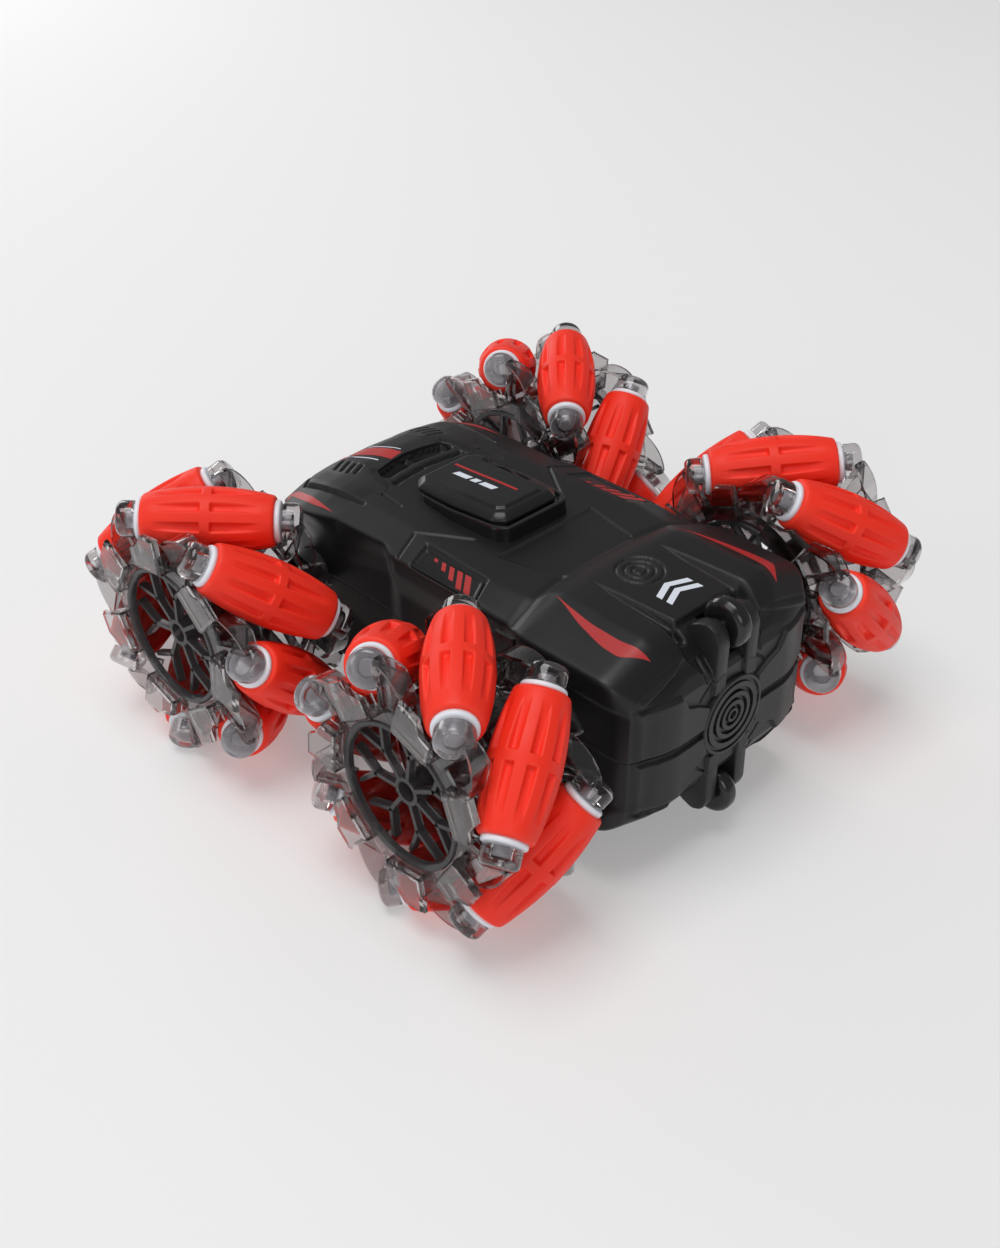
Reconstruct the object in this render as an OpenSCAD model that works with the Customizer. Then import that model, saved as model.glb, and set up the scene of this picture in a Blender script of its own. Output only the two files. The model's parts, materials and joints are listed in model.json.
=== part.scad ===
// Four-wheel mecanum drive car: two half shells, four clear wheels of seven rollers, two casters.
// Frame: +X forward, +Y to the car's left, +Z up, origin on the floor under the middle.

/* [Wheels] */
// Distance between the front and the rear wheel axes
wheelbase = 116.8; // [112:0.2:122]
// Distance between the middle planes of the left and the right wheels
track = 163.2; // [160:0.2:168]
// Outer radius of a wheel over its rollers
wheel_r = 49.4; // [49:0.1:50]
// Radius of the circle that the roller axes touch
roller_ring_r = 38; // [37.8:0.1:38.4]
// Angle between a roller's axis and its wheel's axis
roller_tilt = 45; // [44:0.5:46]

/* [Rollers] */
// Half the length of the rubber sleeve
sleeve_half = 22.3; // [21.5:0.1:22.5]
// Half the distance between the outer faces of the core's two flanges
flange_half = 24.2; // [23.8:0.1:24.2]
// Radius of the core's flanges
flange_r = 7.2; // [6.8:0.1:7.3]
// Half the length of the core over its two stub axles
stub_half = 27.4; // [27:0.1:27.6]
// Radius of the stub axles
stub_r = 2.7; // [2.4:0.1:2.9]

/* [Body] */
// Height of the joint between the top and the bottom shell
parting_z = 50; // [50:0.1:50.4]
// Wall thickness of the shells
wall = 2.2; // [1.8:0.1:2.4]
// Half the width of the body at the rear
rear_half_w = 48; // [46:0.5:49]
// Half the width of the body at the nose
nose_half_w = 41; // [40:0.5:42]

/* [Fits] */
// Radial play of a part that turns on its shaft
running_play = 0.08; // [0.05:0.01:0.1]
// Radial play around a screw in its clearance hole
screw_play = 0.2; // [0.15:0.05:0.3]

/* [Hidden] */
$fn = 48;
rollers = 7;
pitch = 360 / rollers;
eps = 0.01;
// Wheels in the order front left, front right, rear left, rear right
corner_names = ["fl", "fr", "rl", "rr"];
// How far each wheel is turned at rest, so that no two stand alike
rest_turn = [-1.3, -16.1, -7.7, 8.9];
ends = [1, 1, -1, -1];
sides = [1, -1, 1, -1];
big = 400;

hub_ring_r = 25.5;
hub_ring_bore = 23.3;
hub_face = 20.6;
boss_r = 6.3;
boss_start = 24.6;
boss_end = 30.8;
hub_trim_r = 48.2;
roller_gap = 0.7;
axle_r = 3;
axle_inner_y = 36;
axle_end = 7.5;
screw_r = 1.4;
screw_head_y = 9;

snout_r = 7.5;
snout_end = 58.5;
motor_offset = 16;
motor_r = 10;
motor_len = 22;
gearbox_t = 11;
gearbox_half_h = 12;
gearbox_nose = 8;

caster_r = 8.5;
caster_half_w = 3.2;
caster_pin_r = 1.5;
caster_top_at = [-98.5, 0, 83.3];
caster_low_at = [-99, 0, 17];

switch_at = [-40, 0];
switch_travel = 3;
pillars = [[-84, 33], [0, 36], [71.5, 17]];

roller_nodes = [for (w = corner_names) for (k = [1 : rollers]) str("roller_", w, "_", k)];
wheel_nodes = [for (w = corner_names) for (n = ["hub_outer_", "hub_inner_", "axle_", "wheel_screw_"])
    str(n, w)];
body_nodes = ["top_shell", "bottom_shell", "hood_panel", "roof_tray", "roof_block", "side_panels",
    "caster_top", "caster_bottom", "caster_axles", "gearboxes", "motors", "battery",
    "battery_door", "circuit_board", "power_switch", "shell_screws"];

// ---------- helpers ----------

// A flat outline in XZ, made solid from y0 to y1
module along_y(y0, y1) {
    translate([0, y1, 0]) rotate([90, 0, 0]) linear_extrude(y1 - y0) children();
}

// A flat outline in YZ, made solid from x0 to x1
module along_x(x0, x1) {
    translate([x0, 0, 0]) rotate([90, 0, 90]) linear_extrude(x1 - x0) children();
}

// A round bar along Y
module rod_y(r, y0, y1) {
    translate([0, y1, 0]) rotate([90, 0, 0]) cylinder(r = r, h = y1 - y0);
}

// Points mirrored over both axes, from the quarter with both values positive
function four_way(q) = concat(q,
    [for (i = [len(q) - 1 : -1 : 0]) [-q[i][0], q[i][1]]],
    [for (p = q) [-p[0], -p[1]]],
    [for (i = [len(q) - 1 : -1 : 0]) [q[i][0], -q[i][1]]]);

// Points mirrored over the first axis, from the half with the second value positive
function two_way(h) = concat(h, [for (i = [len(h) - 1 : -1 : 0]) [h[i][0], -h[i][1]]]);

// Points mirrored from the upper half of a turned outline to its lower half
function two_way_up(h) = concat([for (p = h) [p[0], p[1]]],
    [for (i = [len(h) - 1 : -1 : 0]) [h[i][0], -h[i][1]]]);

function grown(points, d) = [for (p = points) [p[0] - sign(p[0]) * d, p[1] - d]];

function polar(r, a) = [r * sin(a), r * cos(a)];

// ---------- wheels ----------

// The place of a wheel; children are drawn as a front left wheel around its own middle
module at_wheel(w) {
    translate([ends[w] * wheelbase / 2, sides[w] * track / 2, wheel_r]) rotate([0, rest_turn[w], 0])
        mirror([ends[w] < 0 ? 1 : 0, 0, 0]) mirror([0, sides[w] < 0 ? 1 : 0, 0]) children();
}

// The place of roller k in a wheel; its axis is the children's Z axis
module at_roller(k) {
    rotate([0, k * pitch, 0]) translate([0, 0, roller_ring_r])
        rotate([0, 0, -roller_tilt]) rotate([-90, 0, 0]) children();
}

// A sphere around each point of the tilted axis touches the wheel's cylinder from inside, and the
// barrel is the envelope of those spheres, so that seven rollers together roll like one round wheel
function axis_dist(u) = sqrt(pow(roller_ring_r, 2) + pow(u * sin(roller_tilt), 2));
function fit_r(u) = wheel_r - axis_dist(u);
function fit_slope(u) = -u * pow(sin(roller_tilt), 2) / axis_dist(u);
function barrel(u) = [fit_r(u) * sqrt(1 - pow(fit_slope(u), 2)), u - fit_r(u) * fit_slope(u)];
barrel_u = sleeve_half * 0.902;
barrel_steps = 8;
barrel_points = [for (i = [-barrel_steps : barrel_steps]) barrel(barrel_u * i / barrel_steps)];
sleeve_bore = 4.8;
sleeve_round = 0.9;
// The sleeve is moulded over the core; this hairline keeps the two apart as solids
mould_line = 0.03;
last_point = barrel_points[len(barrel_points) - 1];

module sleeve() {
    outline = [for (p = barrel_points) if (abs(p[1]) < last_point[1] - 0.1) p];
    rim = last_point[0];
    rotate_extrude() polygon(concat([[sleeve_bore, -sleeve_half], [rim - sleeve_round, -sleeve_half],
        [rim, -sleeve_half + sleeve_round]], outline, [[rim, sleeve_half - sleeve_round],
        [rim - sleeve_round, sleeve_half], [sleeve_bore, sleeve_half]]));
}

module core() {
    half = [[stub_half, stub_r - 0.5], [stub_half - 0.5, stub_r], [flange_half, stub_r],
        [flange_half, flange_r - 0.8], [flange_half - 0.8, flange_r],
        [sleeve_half + mould_line, flange_r], [sleeve_half + mould_line, sleeve_bore - mould_line]];
    rotate_extrude() polygon(concat([[0, -stub_half]], [for (p = half) [p[1], -p[0]]],
        [for (i = [len(half) - 1 : -1 : 0]) [half[i][1], half[i][0]]], [[0, stub_half]]));
}

module roller(w, k) {
    at_wheel(w) at_roller(k) {
        color([0.92, 0.15, 0.11]) sleeve();
        color([0.93, 0.94, 0.97]) core();
    }
}

// The room that a roller needs, taken out of the hubs
module roller_room() {
    r = flange_r + roller_gap;
    waist = barrel(sleeve_half * 0.55);
    rotate_extrude() polygon(two_way_up([[0, boss_start], [r, boss_start],
        [r + 0.2, sleeve_half + roller_gap], [waist[0] + 1, waist[1]],
        [wheel_r - roller_ring_r + roller_gap, 3]]));
}

// A rounded cup that holds one stub axle, on the outboard end of a roller
module stub_boss() {
    round = 2;
    translate([0, 0, boss_start]) rotate_extrude() polygon(concat([[0, 0], [boss_r, 0]],
        [for (a = [0 : 30 : 90]) [boss_r - round + round * cos(a),
        boss_end - boss_start - round + round * sin(a)]], [[0, boss_end - boss_start]]));
}

module stub_bore() {
    translate([0, 0, boss_start - eps]) cylinder(r = stub_r + running_play, h = stub_half - boss_start + 0.4);
}

// Angle around the wheel from the middle of a roller to the middle of the next panel
petal_angle = 12.5;

// One clear arm from the ring to the cup, with its flat step and its ridge
module hub_arm() {
    along_y(17.2, 20.2) polygon([polar(24.4, 16), polar(24.4, 50), polar(31, 50), polar(38, 44),
        polar(47.6, 33), polar(48, 24), polar(41, 19)]);
    along_y(19.8, 21.6) polygon([polar(30, 30), polar(31, 46), polar(38, 41), polar(47.6, 31),
        polar(48, 27)]);
}

// The flat panel in front of a roller's outboard half
module hub_petal() {
    rotate([0, petal_angle, 0]) {
        translate([-6.5, 21.4, 25.2]) cube([13, 2, 11.6]);
        translate([-6.5, 18.8, 24.6]) cube([13, 4, 2.4]);
    }
}

// A spoke of the web, which forks before it meets the ring
module hub_spoke() {
    half_t = 0.8;
    fork_r = 14.5;
    fork_a = 15;
    along_y(15.4, 17.6) {
        polygon([[-half_t, 3.6], [half_t, 3.6], [half_t, fork_r], [-half_t, fork_r]]);
        for (s = [-1, 1])
            polygon([[-half_t, fork_r - 0.8], [half_t, fork_r - 0.8],
                polar(hub_ring_bore + 0.5, s * fork_a + 2), polar(hub_ring_bore + 0.5, s * fork_a - 2)]);
    }
}

// One half of a hub, as the outboard half of a front left wheel
module hub_half() {
    intersection() {
        rod_y(hub_trim_r, -1, 40);
        difference() {
            union() {
                difference() {
                    union() {
                        rod_y(hub_ring_r, 0.15, hub_face);
                        rod_y(30.4, 18.8, 20.2);
                    }
                    rod_y(hub_ring_bore, -1, 40);
                }
                rod_y(5, 0.15, 17.6);
                for (k = [0 : rollers - 1]) rotate([0, k * pitch, 0]) {
                    hub_arm();
                    hub_petal();
                    hub_spoke();
                }
            }
            for (k = [0 : rollers - 1]) at_roller(k) {
                roller_room();
                translate([0, 0, boss_start - eps]) cylinder(r = boss_r - eps, h = 4.2);
            }
        }
    }
    intersection() {
        rod_y(hub_trim_r, -1, 40);
        for (k = [0 : rollers - 1]) at_roller(k) difference() {
            stub_boss();
            stub_bore();
        }
    }
}

module hub_outer(w) {
    color([0.5, 0.5, 0.53, 0.5]) at_wheel(w) difference() {
        hub_half();
        rod_y(axle_r + 0.05, -1, 8);
        rod_y(screw_r + screw_play, -1, 40);
        rod_y(3.4, screw_head_y, 40);
    }
}

module hub_inner(w) {
    color([0.5, 0.5, 0.53, 0.5]) at_wheel(w) rotate([0, 0, 180]) difference() {
        hub_half();
        rod_y(axle_r + 0.05, -1, 40);
    }
}

// The output shaft, fixed in the hub and turning in its gearbox
module axle(w) {
    color([0.72, 0.72, 0.75]) at_wheel(w) difference() {
        rod_y(axle_r, axle_inner_y - track / 2, axle_end);
        rod_y(screw_r + 0.1, axle_end - 10, 40);
    }
}

module wheel_screw(w) {
    color([0.55, 0.55, 0.58]) at_wheel(w) difference() {
        union() {
            rod_y(screw_r, -1.5, screw_head_y + 0.5);
            rod_y(2.9, screw_head_y, screw_head_y + 1.8);
        }
        for (a = [0, 90]) rotate([0, a, 0])
            translate([-1.7, screw_head_y + 0.8, -0.35]) cube([3.4, 2, 0.7]);
    }
}

// ---------- body ----------

module rear_block(d) {
    intersection() {
        along_x(-big, -46 - d) translate([0, parting_z])
            polygon(four_way(grown([[rear_half_w - 3.5, 18.5], [rear_half_w, 21], [rear_half_w, 29.5],
                [27, 36]], d)));
        translate([0, 0, parting_z - 60]) linear_extrude(120) polygon(two_way([[-46, rear_half_w - d],
            [-92 + d, rear_half_w - d], [-97 + d, 43 - d], [-101.5 + d, 25 - d]]));
        along_y(-60, 60) translate([0, parting_z]) polygon(two_way([[-46, 36 - d], [-89 + d, 36 - d],
            [-96.5 + d, 30 - d], [-101.5 + d, 16 - d]]));
    }
}

module mid_block(d) {
    along_x(-50, 16 - d) translate([0, parting_z])
        polygon(four_way(grown([[41, 12], [45, 15], [45, 29], [33, 32]], d)));
}

module nose_block(d) {
    intersection() {
        along_x(12, big) translate([0, parting_z])
            polygon(four_way(grown([[39, 18], [nose_half_w, 22], [nose_half_w, 29], [30.5, 34]], d)));
        translate([0, 0, parting_z - 60]) linear_extrude(120) polygon(two_way([[12, nose_half_w - d],
            [66 - d, nose_half_w - d], [73 - d, 36 - d], [79 - d, 20 - d]]));
        along_y(-60, 60) translate([0, parting_z]) polygon(two_way([[12, 32 - d], [35, 33.5 - d],
            [60 - d, 33 - d], [71 - d, 28 - d], [78 - d, 15 - d]]));
    }
}

module body_solid(d) {
    rear_block(d);
    mid_block(d);
    nose_block(d);
}

// The part of its children above (1) or below (-1) the parting plane
module half_of(s) {
    intersection() {
        children();
        translate([-big / 2, -big / 2, s > 0 ? parting_z : parting_z - big]) cube(big);
    }
}

// A solid block behind a caster, with two ears; s says whether it is above or below
module caster_block(at, s) {
    reach = s > 0 ? 4.2 : 3;
    translate([-98.2, -7, s > 0 ? 71 : 14.2]) cube([11, 14, 14.8]);
    for (y = [-1, 1]) translate([at[0], y * 5.6, at[2]]) rod_y(reach + 0.6, -1.4, 1.4);
}

module caster_cut(at) {
    translate(at) {
        rod_y(caster_r + 0.9, -4.1, 4.1);
        rod_y(caster_pin_r + 0.04, -9, 9);
    }
}

module shell_half(s) {
    at = s > 0 ? caster_top_at : caster_low_at;
    difference() {
        union() {
            half_of(s) difference() {
                body_solid(0);
                body_solid(wall);
            }
            half_of(s) caster_block(at, s);
            intersection() {
                body_solid(0);
                for (p = pillars) for (y = [-1, 1]) translate([p[0], y * p[1], parting_z])
                    mirror([0, 0, s > 0 ? 0 : 1]) cylinder(r = 4.2, h = 40);
            }
        }
        caster_cut(at);
        for (w = [0 : 3]) translate([ends[w] * wheelbase / 2, 0, wheel_r])
            rod_y(snout_r + 0.4, -60, 60);
        for (p = pillars) for (y = [-1, 1]) translate([p[0], y * p[1], 0])
            if (s > 0) translate([0, 0, parting_z - 1]) cylinder(r = screw_r + 0.05, h = 13);
            else {
                cylinder(r = screw_r + screw_play, h = 60);
                cylinder(r = 3.2, h = 36);
            }
    }
}

module top_shell() {
    color([0.13, 0.13, 0.14]) shell_half(1);
}

door_x = 31;
door_y = 20;
floor_z = parting_z - 32;

module bottom_shell() {
    color([0.11, 0.11, 0.12]) difference() {
        shell_half(-1);
        // battery bay
        translate([-door_x - 0.3, -door_y - 0.3, 0]) cube([2 * door_x + 0.6, 2 * door_y + 0.6, 30]);
        // switch slot
        translate([switch_at[0] - 3.6, -1.8, 0]) cube([7.2 + switch_travel, 3.6, 30]);
    }
}

module hood_panel() {
    color([0.1, 0.1, 0.11]) difference() {
        along_y(-29.5, 29.5) polygon([[39, 80], [70, 76], [70, 79.4], [60.3, 84.2], [39, 84.8]]);
        body_solid(0);
        // corners cut to a taper towards the nose
        for (s = [-1, 1]) mirror([0, s > 0 ? 0 : 1, 0]) linear_extrude(120)
            polygon([[50, 31], [72, 24], [72, 31]]);
        // curved scoop behind the hood
        translate([39, 0, 60]) cylinder(r = 7, h = 60);
    }
}

module roof_tray() {
    color([0.1, 0.1, 0.11]) difference() {
        union() {
            translate([-9, -13, 78]) cube([33, 26, 6.5]);
            translate([0, 0, 83.9]) linear_extrude(2.9) polygon([[-17, -15], [-12, -17.5], [8, -21],
                [26, -20], [31, -16], [31, 16], [26, 20], [8, 21], [-12, 17.5], [-17, 15]]);
        }
        body_solid(0);
        translate([0, 0, 85.9]) linear_extrude(4) polygon([[-15.6, -13.8], [-11.4, -16], [8, -19.4],
            [25.4, -18.4], [29.6, -15], [29.6, 15], [25.4, 18.4], [8, 19.4], [-11.4, 16],
            [-15.6, 13.8]]);
    }
}

module roof_block() {
    color([0.12, 0.12, 0.13]) difference() {
        intersection() {
            along_x(-20, 40) polygon([[-13.4, 85.9], [13.4, 85.9], [14.6, 87.4], [14.6, 88.4],
                [11.4, 91.5], [-11.4, 91.5], [-14.6, 88.4], [-14.6, 87.4]]);
            along_y(-20, 20) polygon([[-13, 85.9], [-13, 88.2], [-9.2, 91.5], [25.6, 91.5],
                [29, 88.2], [29, 85.9]]);
        }
        // two shallow channels
        for (s = [-1, 1]) translate([-5, s * 8.6 - 0.8, 90.8]) cube([29, 1.6, 2]);
    }
}

module side_panels() {
    color([0.09, 0.09, 0.1]) difference() {
        intersection() {
            mid_block(-0.9);
            for (s = [-1, 1]) translate([-27, s > 0 ? 34.8 : -55, 74.4]) cube([33, 20.2, 8]);
        }
        mid_block(0);
    }
}

module caster(at) {
    round = 2.6;
    color([0.07, 0.07, 0.08]) translate(at) rotate([90, 0, 0]) rotate_extrude() polygon(concat(
        [for (a = [-90 : 15 : 90]) [caster_r - round + round * cos(a),
        (caster_half_w - round) * sign(a) + round * sin(a)]],
        [[caster_pin_r + running_play, caster_half_w], [caster_pin_r + running_play, -caster_half_w]]));
}

module caster_axles() {
    color([0.7, 0.7, 0.72]) for (at = [caster_top_at, caster_low_at]) translate(at)
        rod_y(caster_pin_r, -6.6, 6.6);
}

// ---------- inside ----------

function gearbox_y(w) = ends[w] > 0 ? nose_half_w - wall - 3 : rear_half_w - wall - 7.8;

module gearboxes() {
    for (w = [0 : 3]) color([0.82, 0.82, 0.8]) translate([ends[w] * wheelbase / 2, 0, wheel_r])
        mirror([0, sides[w] < 0 ? 1 : 0, 0]) difference() {
            y = gearbox_y(w);
            union() {
                translate([ends[w] > 0 ? -motor_offset - 11 : -gearbox_nose, y - gearbox_t, -gearbox_half_h])
                    cube([motor_offset + 11 + gearbox_nose, gearbox_t, 2 * gearbox_half_h]);
                rod_y(snout_r, y - 1, snout_end);
            }
            rod_y(axle_r + running_play, axle_inner_y - 0.5, 80);
        }
}

module motors() {
    for (w = [0 : 3]) color([0.6, 0.62, 0.64])
        translate([ends[w] * (wheelbase / 2 - motor_offset), 0, wheel_r])
            mirror([0, sides[w] < 0 ? 1 : 0, 0]) intersection() {
                y = gearbox_y(w) - gearbox_t;
                union() {
                    rod_y(motor_r, y - motor_len, y);
                    rod_y(3, y - motor_len - 1.2, y);
                }
                translate([-15, -60, -7.6]) cube([30, 120, 15.2]);
            }
}

module battery() {
    cells = 2;
    cell_r = 8.7;
    for (k = [0 : cells - 1]) color([0.2, 0.35, 0.7])
        translate([-26, (k - 0.5) * 2 * cell_r, 29.5]) rotate([0, 90, 0]) cylinder(r = cell_r, h = 52);
}

module battery_door() {
    color([0.1, 0.1, 0.11]) translate([-door_x, -door_y, 0]) difference() {
        translate([0, 0, floor_z]) cube([2 * door_x, 2 * door_y, 1.8]);
        for (k = [0 : 4]) translate([12 + k * 9, 8, floor_z - 1]) cube([3, 2 * door_y - 16, 1.6]);
    }
}

module circuit_board() {
    board_z = 66;
    color([0.05, 0.35, 0.18]) translate([-28, -24, board_z]) cube([56, 48, 1.6]);
    color([0.08, 0.08, 0.08]) for (x = [-14, 10]) translate([x, -6, board_z + 1.6]) cube([12, 9, 1.6]);
    color([0.75, 0.75, 0.7]) for (s = [-1, 1]) translate([-22, s * 17 - 3, board_z + 1.6]) cube([10, 6, 5]);
    color([0.15, 0.25, 0.6]) for (s = [-1, 1]) translate([20, s * 15, board_z + 1.6]) cylinder(r = 3.2, h = 7);
}

// The slide knob: a cap inside the floor and a ribbed finger through the slot
module power_switch() {
    color([0.85, 0.2, 0.15]) translate([switch_at[0], 0, 0]) {
        translate([-5, -3.2, floor_z + wall + 0.3]) cube([10, 6.4, 1.6]);
        translate([-3, -1.4, floor_z - 1]) cube([6, 2.8, wall + 2]);
    }
}

module shell_screws() {
    color([0.55, 0.55, 0.58]) for (p = pillars) for (y = [-1, 1]) translate([p[0], y * p[1], 0]) {
        translate([0, 0, 33.9]) cylinder(r = 2.8, h = 2.1);
        translate([0, 0, 35.9]) cylinder(r = screw_r, h = 25);
    }
}

for (w = [0 : 3]) {
    for (k = [0 : rollers - 1])
        roller(w, k);
    hub_outer(w);
    hub_inner(w);
    axle(w);
    wheel_screw(w);
}
top_shell();
bottom_shell();
hood_panel();
roof_tray();
roof_block();
side_panels();
caster(caster_top_at);  // caster_top
caster(caster_low_at);  // caster_bottom
caster_axles();
gearboxes();
motors();
battery();
battery_door();
circuit_board();
power_switch();
shell_screws();
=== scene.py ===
import json
import math

import bmesh
import bpy
import numpy as np
from mathutils import Matrix, Vector
from mathutils.bvhtree import BVHTree


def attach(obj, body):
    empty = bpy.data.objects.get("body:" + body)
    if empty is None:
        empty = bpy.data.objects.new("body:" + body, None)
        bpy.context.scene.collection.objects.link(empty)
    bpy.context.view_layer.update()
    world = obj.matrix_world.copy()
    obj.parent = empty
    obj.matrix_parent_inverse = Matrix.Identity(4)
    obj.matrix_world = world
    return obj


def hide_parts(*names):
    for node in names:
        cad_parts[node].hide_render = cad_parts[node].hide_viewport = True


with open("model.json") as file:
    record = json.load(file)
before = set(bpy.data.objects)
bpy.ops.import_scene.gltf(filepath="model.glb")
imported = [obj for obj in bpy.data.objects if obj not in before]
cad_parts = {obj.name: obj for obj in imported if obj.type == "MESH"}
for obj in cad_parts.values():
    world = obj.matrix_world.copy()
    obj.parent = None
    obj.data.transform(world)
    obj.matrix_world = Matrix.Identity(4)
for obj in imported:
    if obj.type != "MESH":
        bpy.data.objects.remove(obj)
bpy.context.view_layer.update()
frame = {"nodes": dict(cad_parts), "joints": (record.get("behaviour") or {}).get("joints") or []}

MM = 0.001
nodes = frame["nodes"]
joints = {j["name"]: j for j in frame["joints"]}
CORNERS = ("fl", "fr", "rl", "rr")
ROLLERS = 7

# ------------ materials


def shader(mat):
    return mat.node_tree.nodes["Principled BSDF"]


def new_material(name, base, rough, metallic=0.0, transmission=0.0, ior=1.5, gloss=0.5):
    """A Principled material, with its uniform values on the shader's own sockets."""
    mat = bpy.data.materials.new(name)
    mat.use_nodes = True
    for socket, value in {"Base Color": (*base, 1), "Roughness": rough, "Metallic": metallic,
                          "Transmission Weight": transmission, "IOR": ior,
                          "Specular IOR Level": gloss}.items():
        shader(mat).inputs[socket].default_value = value
    return mat


def add(mat, kind, **inputs):
    node = mat.node_tree.nodes.new(kind)
    for key, value in inputs.items():
        node.inputs[key.replace("_", " ")].default_value = value
    return node


def link(mat, out, into):
    mat.node_tree.links.new(out, into)


def grain(mat, where, scale, strength, detail=3.0, distance=0.0002):
    """Fine moulded grain as bump, from noise in the piece's own coordinates."""
    noise = add(mat, "ShaderNodeTexNoise", Scale=scale, Detail=detail)
    bump = add(mat, "ShaderNodeBump", Strength=strength, Distance=distance)
    link(mat, where.outputs["Object"], noise.inputs["Vector"])
    link(mat, noise.outputs["Fac"], bump.inputs["Height"])
    link(mat, bump.outputs["Normal"], shader(mat).inputs["Normal"])


def varied_roughness(mat, where, scale, low, high):
    """Slow variation of the roughness between two values."""
    noise = add(mat, "ShaderNodeTexNoise", Scale=scale, Detail=4.0)
    span = add(mat, "ShaderNodeMapRange", From_Min=0.3, From_Max=0.7, To_Min=low, To_Max=high)
    link(mat, where.outputs["Object"], noise.inputs["Vector"])
    link(mat, noise.outputs["Fac"], span.inputs["Value"])
    link(mat, span.outputs["Result"], shader(mat).inputs["Roughness"])


def painted_edge_highlight(mat, base, edge, convex):
    """Painted edge highlight: lighter colour on convex edges, full where the pointiness reaches
    convex.
    """
    geo = add(mat, "ShaderNodeNewGeometry")
    ramp = add(mat, "ShaderNodeMapRange", From_Min=0.5, From_Max=convex)
    mix = add(mat, "ShaderNodeMix")
    mix.data_type = "RGBA"
    mix.inputs["A"].default_value = (*base, 1)
    mix.inputs["B"].default_value = (*edge, 1)
    link(mat, geo.outputs["Pointiness"], ramp.inputs["Value"])
    link(mat, ramp.outputs["Result"], mix.inputs["Factor"])
    link(mat, mix.outputs["Result"], shader(mat).inputs["Base Color"])


def look(name, base, rough, bump, spread, **more):
    """A material with grain, (scale, strength, detail, distance), and with a roughness that varies
    slowly, (scale, lowest, highest)."""
    mat = new_material(name, base, rough, **more)
    where = add(mat, "ShaderNodeTexCoord")
    grain(mat, where, *bump)
    varied_roughness(mat, where, *spread)
    return mat


def decal(name, base):
    return look(name, base, 0.4, (2600, 0.1, 2.0), (60, 0.34, 0.48))


def metal(name, base, rough):
    return look(name, base, rough, (600, 0.1), (150, rough * 0.8, rough * 1.2), metallic=1.0)


def plain_plastic(name, base, rough):
    return look(name, base, rough, (1200, 0.1), (80, rough * 0.85, rough * 1.15))


RED = (0.93, 0.03, 0.012)
BLACK = (0.008, 0.008, 0.009)
MATS = {
    "rubber": look("rubber_red", RED, 0.5, (1400, 0.25), (90, 0.42, 0.58), gloss=0.3),
    "core": look("core_white", (0.8, 0.82, 0.88), 0.35, (900, 0.08), (120, 0.3, 0.45)),
    "body": look("body_black", BLACK, 0.42, (2600, 0.16, 2.0), (45, 0.36, 0.46), gloss=0.36),
    "trim": look("trim_black", BLACK, 0.3, (2200, 0.06, 2.0), (60, 0.26, 0.36), gloss=0.4),
    "gloss": look("gloss_black", (0.01, 0.01, 0.011), 0.18, (700, 0.04, 2.0), (80, 0.14, 0.26)),
    "clear": look("smoke_clear", (0.58, 0.555, 0.56), 0.06, (260, 0.05, 2.0, 0.0004),
                  (70, 0.03, 0.12), transmission=1.0, ior=1.22),
    "dark": look("smoke_dark", (0.14, 0.135, 0.14), 0.16, (500, 0.05, 2.0, 0.0003),
                 (70, 0.1, 0.24), transmission=0.7, ior=1.3),
    "red": decal("decal_red", (0.42, 0.02, 0.02)),
    "white": decal("decal_white", (0.72, 0.76, 0.84)),
    "steel": metal("shaft_steel", (0.6, 0.6, 0.62), 0.3),
    "screw": metal("screw_steel", (0.5, 0.5, 0.52), 0.35),
    "can": metal("motor_can", (0.55, 0.56, 0.58), 0.35),
    "gearbox": plain_plastic("gearbox_plastic", (0.05, 0.05, 0.055), 0.45),
    "cell": plain_plastic("cell_wrap", (0.05, 0.14, 0.45), 0.25),
    "board": plain_plastic("board_green", (0.02, 0.14, 0.06), 0.4),
    "switch": plain_plastic("switch_red", (0.6, 0.03, 0.02), 0.4),
}
# painted highlights: the convex edges of the red rubber and of the black body get a lighter colour
painted_edge_highlight(MATS["rubber"], RED, (1.0, 0.07, 0.035), 0.62)
painted_edge_highlight(MATS["body"], BLACK, (0.022, 0.022, 0.024), 0.6)
shader(MATS["clear"]).inputs["Coat Weight"].default_value = 1.0
shader(MATS["clear"]).inputs["Coat Roughness"].default_value = 0.06

# ------------ mesh helpers


def new_object(name, data):
    obj = bpy.data.objects.new(name, data)
    bpy.context.scene.collection.objects.link(obj)
    return obj


def mesh_object(name, verts, faces, mat, smooth=True):
    """An object from points and faces, with its normals turned outward."""
    mesh = bpy.data.meshes.new(name)
    mesh.from_pydata([tuple(v) for v in verts], [], faces)
    mesh.validate()
    mesh.update()
    bm = bmesh.new()
    bm.from_mesh(mesh)
    bmesh.ops.recalc_face_normals(bm, faces=bm.faces)
    bm.to_mesh(mesh)
    bm.free()
    mesh.polygons.foreach_set("use_smooth", [smooth] * len(mesh.polygons))
    mesh.materials.append(mat)
    return new_object(name, mesh)


def grid_faces(rows, cols, wrap_cols=False, offset=0):
    """Faces between rows of points, each row closed into a ring if it wraps."""
    faces = []
    for i in range(rows - 1):
        for j in range(cols if wrap_cols else cols - 1):
            k = (j + 1) % cols
            a = offset + i * cols
            b = offset + (i + 1) * cols
            faces.append((a + j, a + k, b + k, b + j))
    return faces


def hoop_faces(rings, steps):
    """Faces of a closed hoop: each ring of points joins the next, and the last joins the first."""
    return [(i * steps + k, i * steps + (k + 1) % steps, (i + 1) % rings * steps + (k + 1) % steps,
             (i + 1) % rings * steps + k) for i in range(rings) for k in range(steps)]


def circle(radius, steps):
    """Points around a circle: the radius times the cosine, and times the sine."""
    turns = [2 * math.pi * k / steps for k in range(steps)]
    return [(radius * math.cos(t), radius * math.sin(t)) for t in turns]


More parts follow.
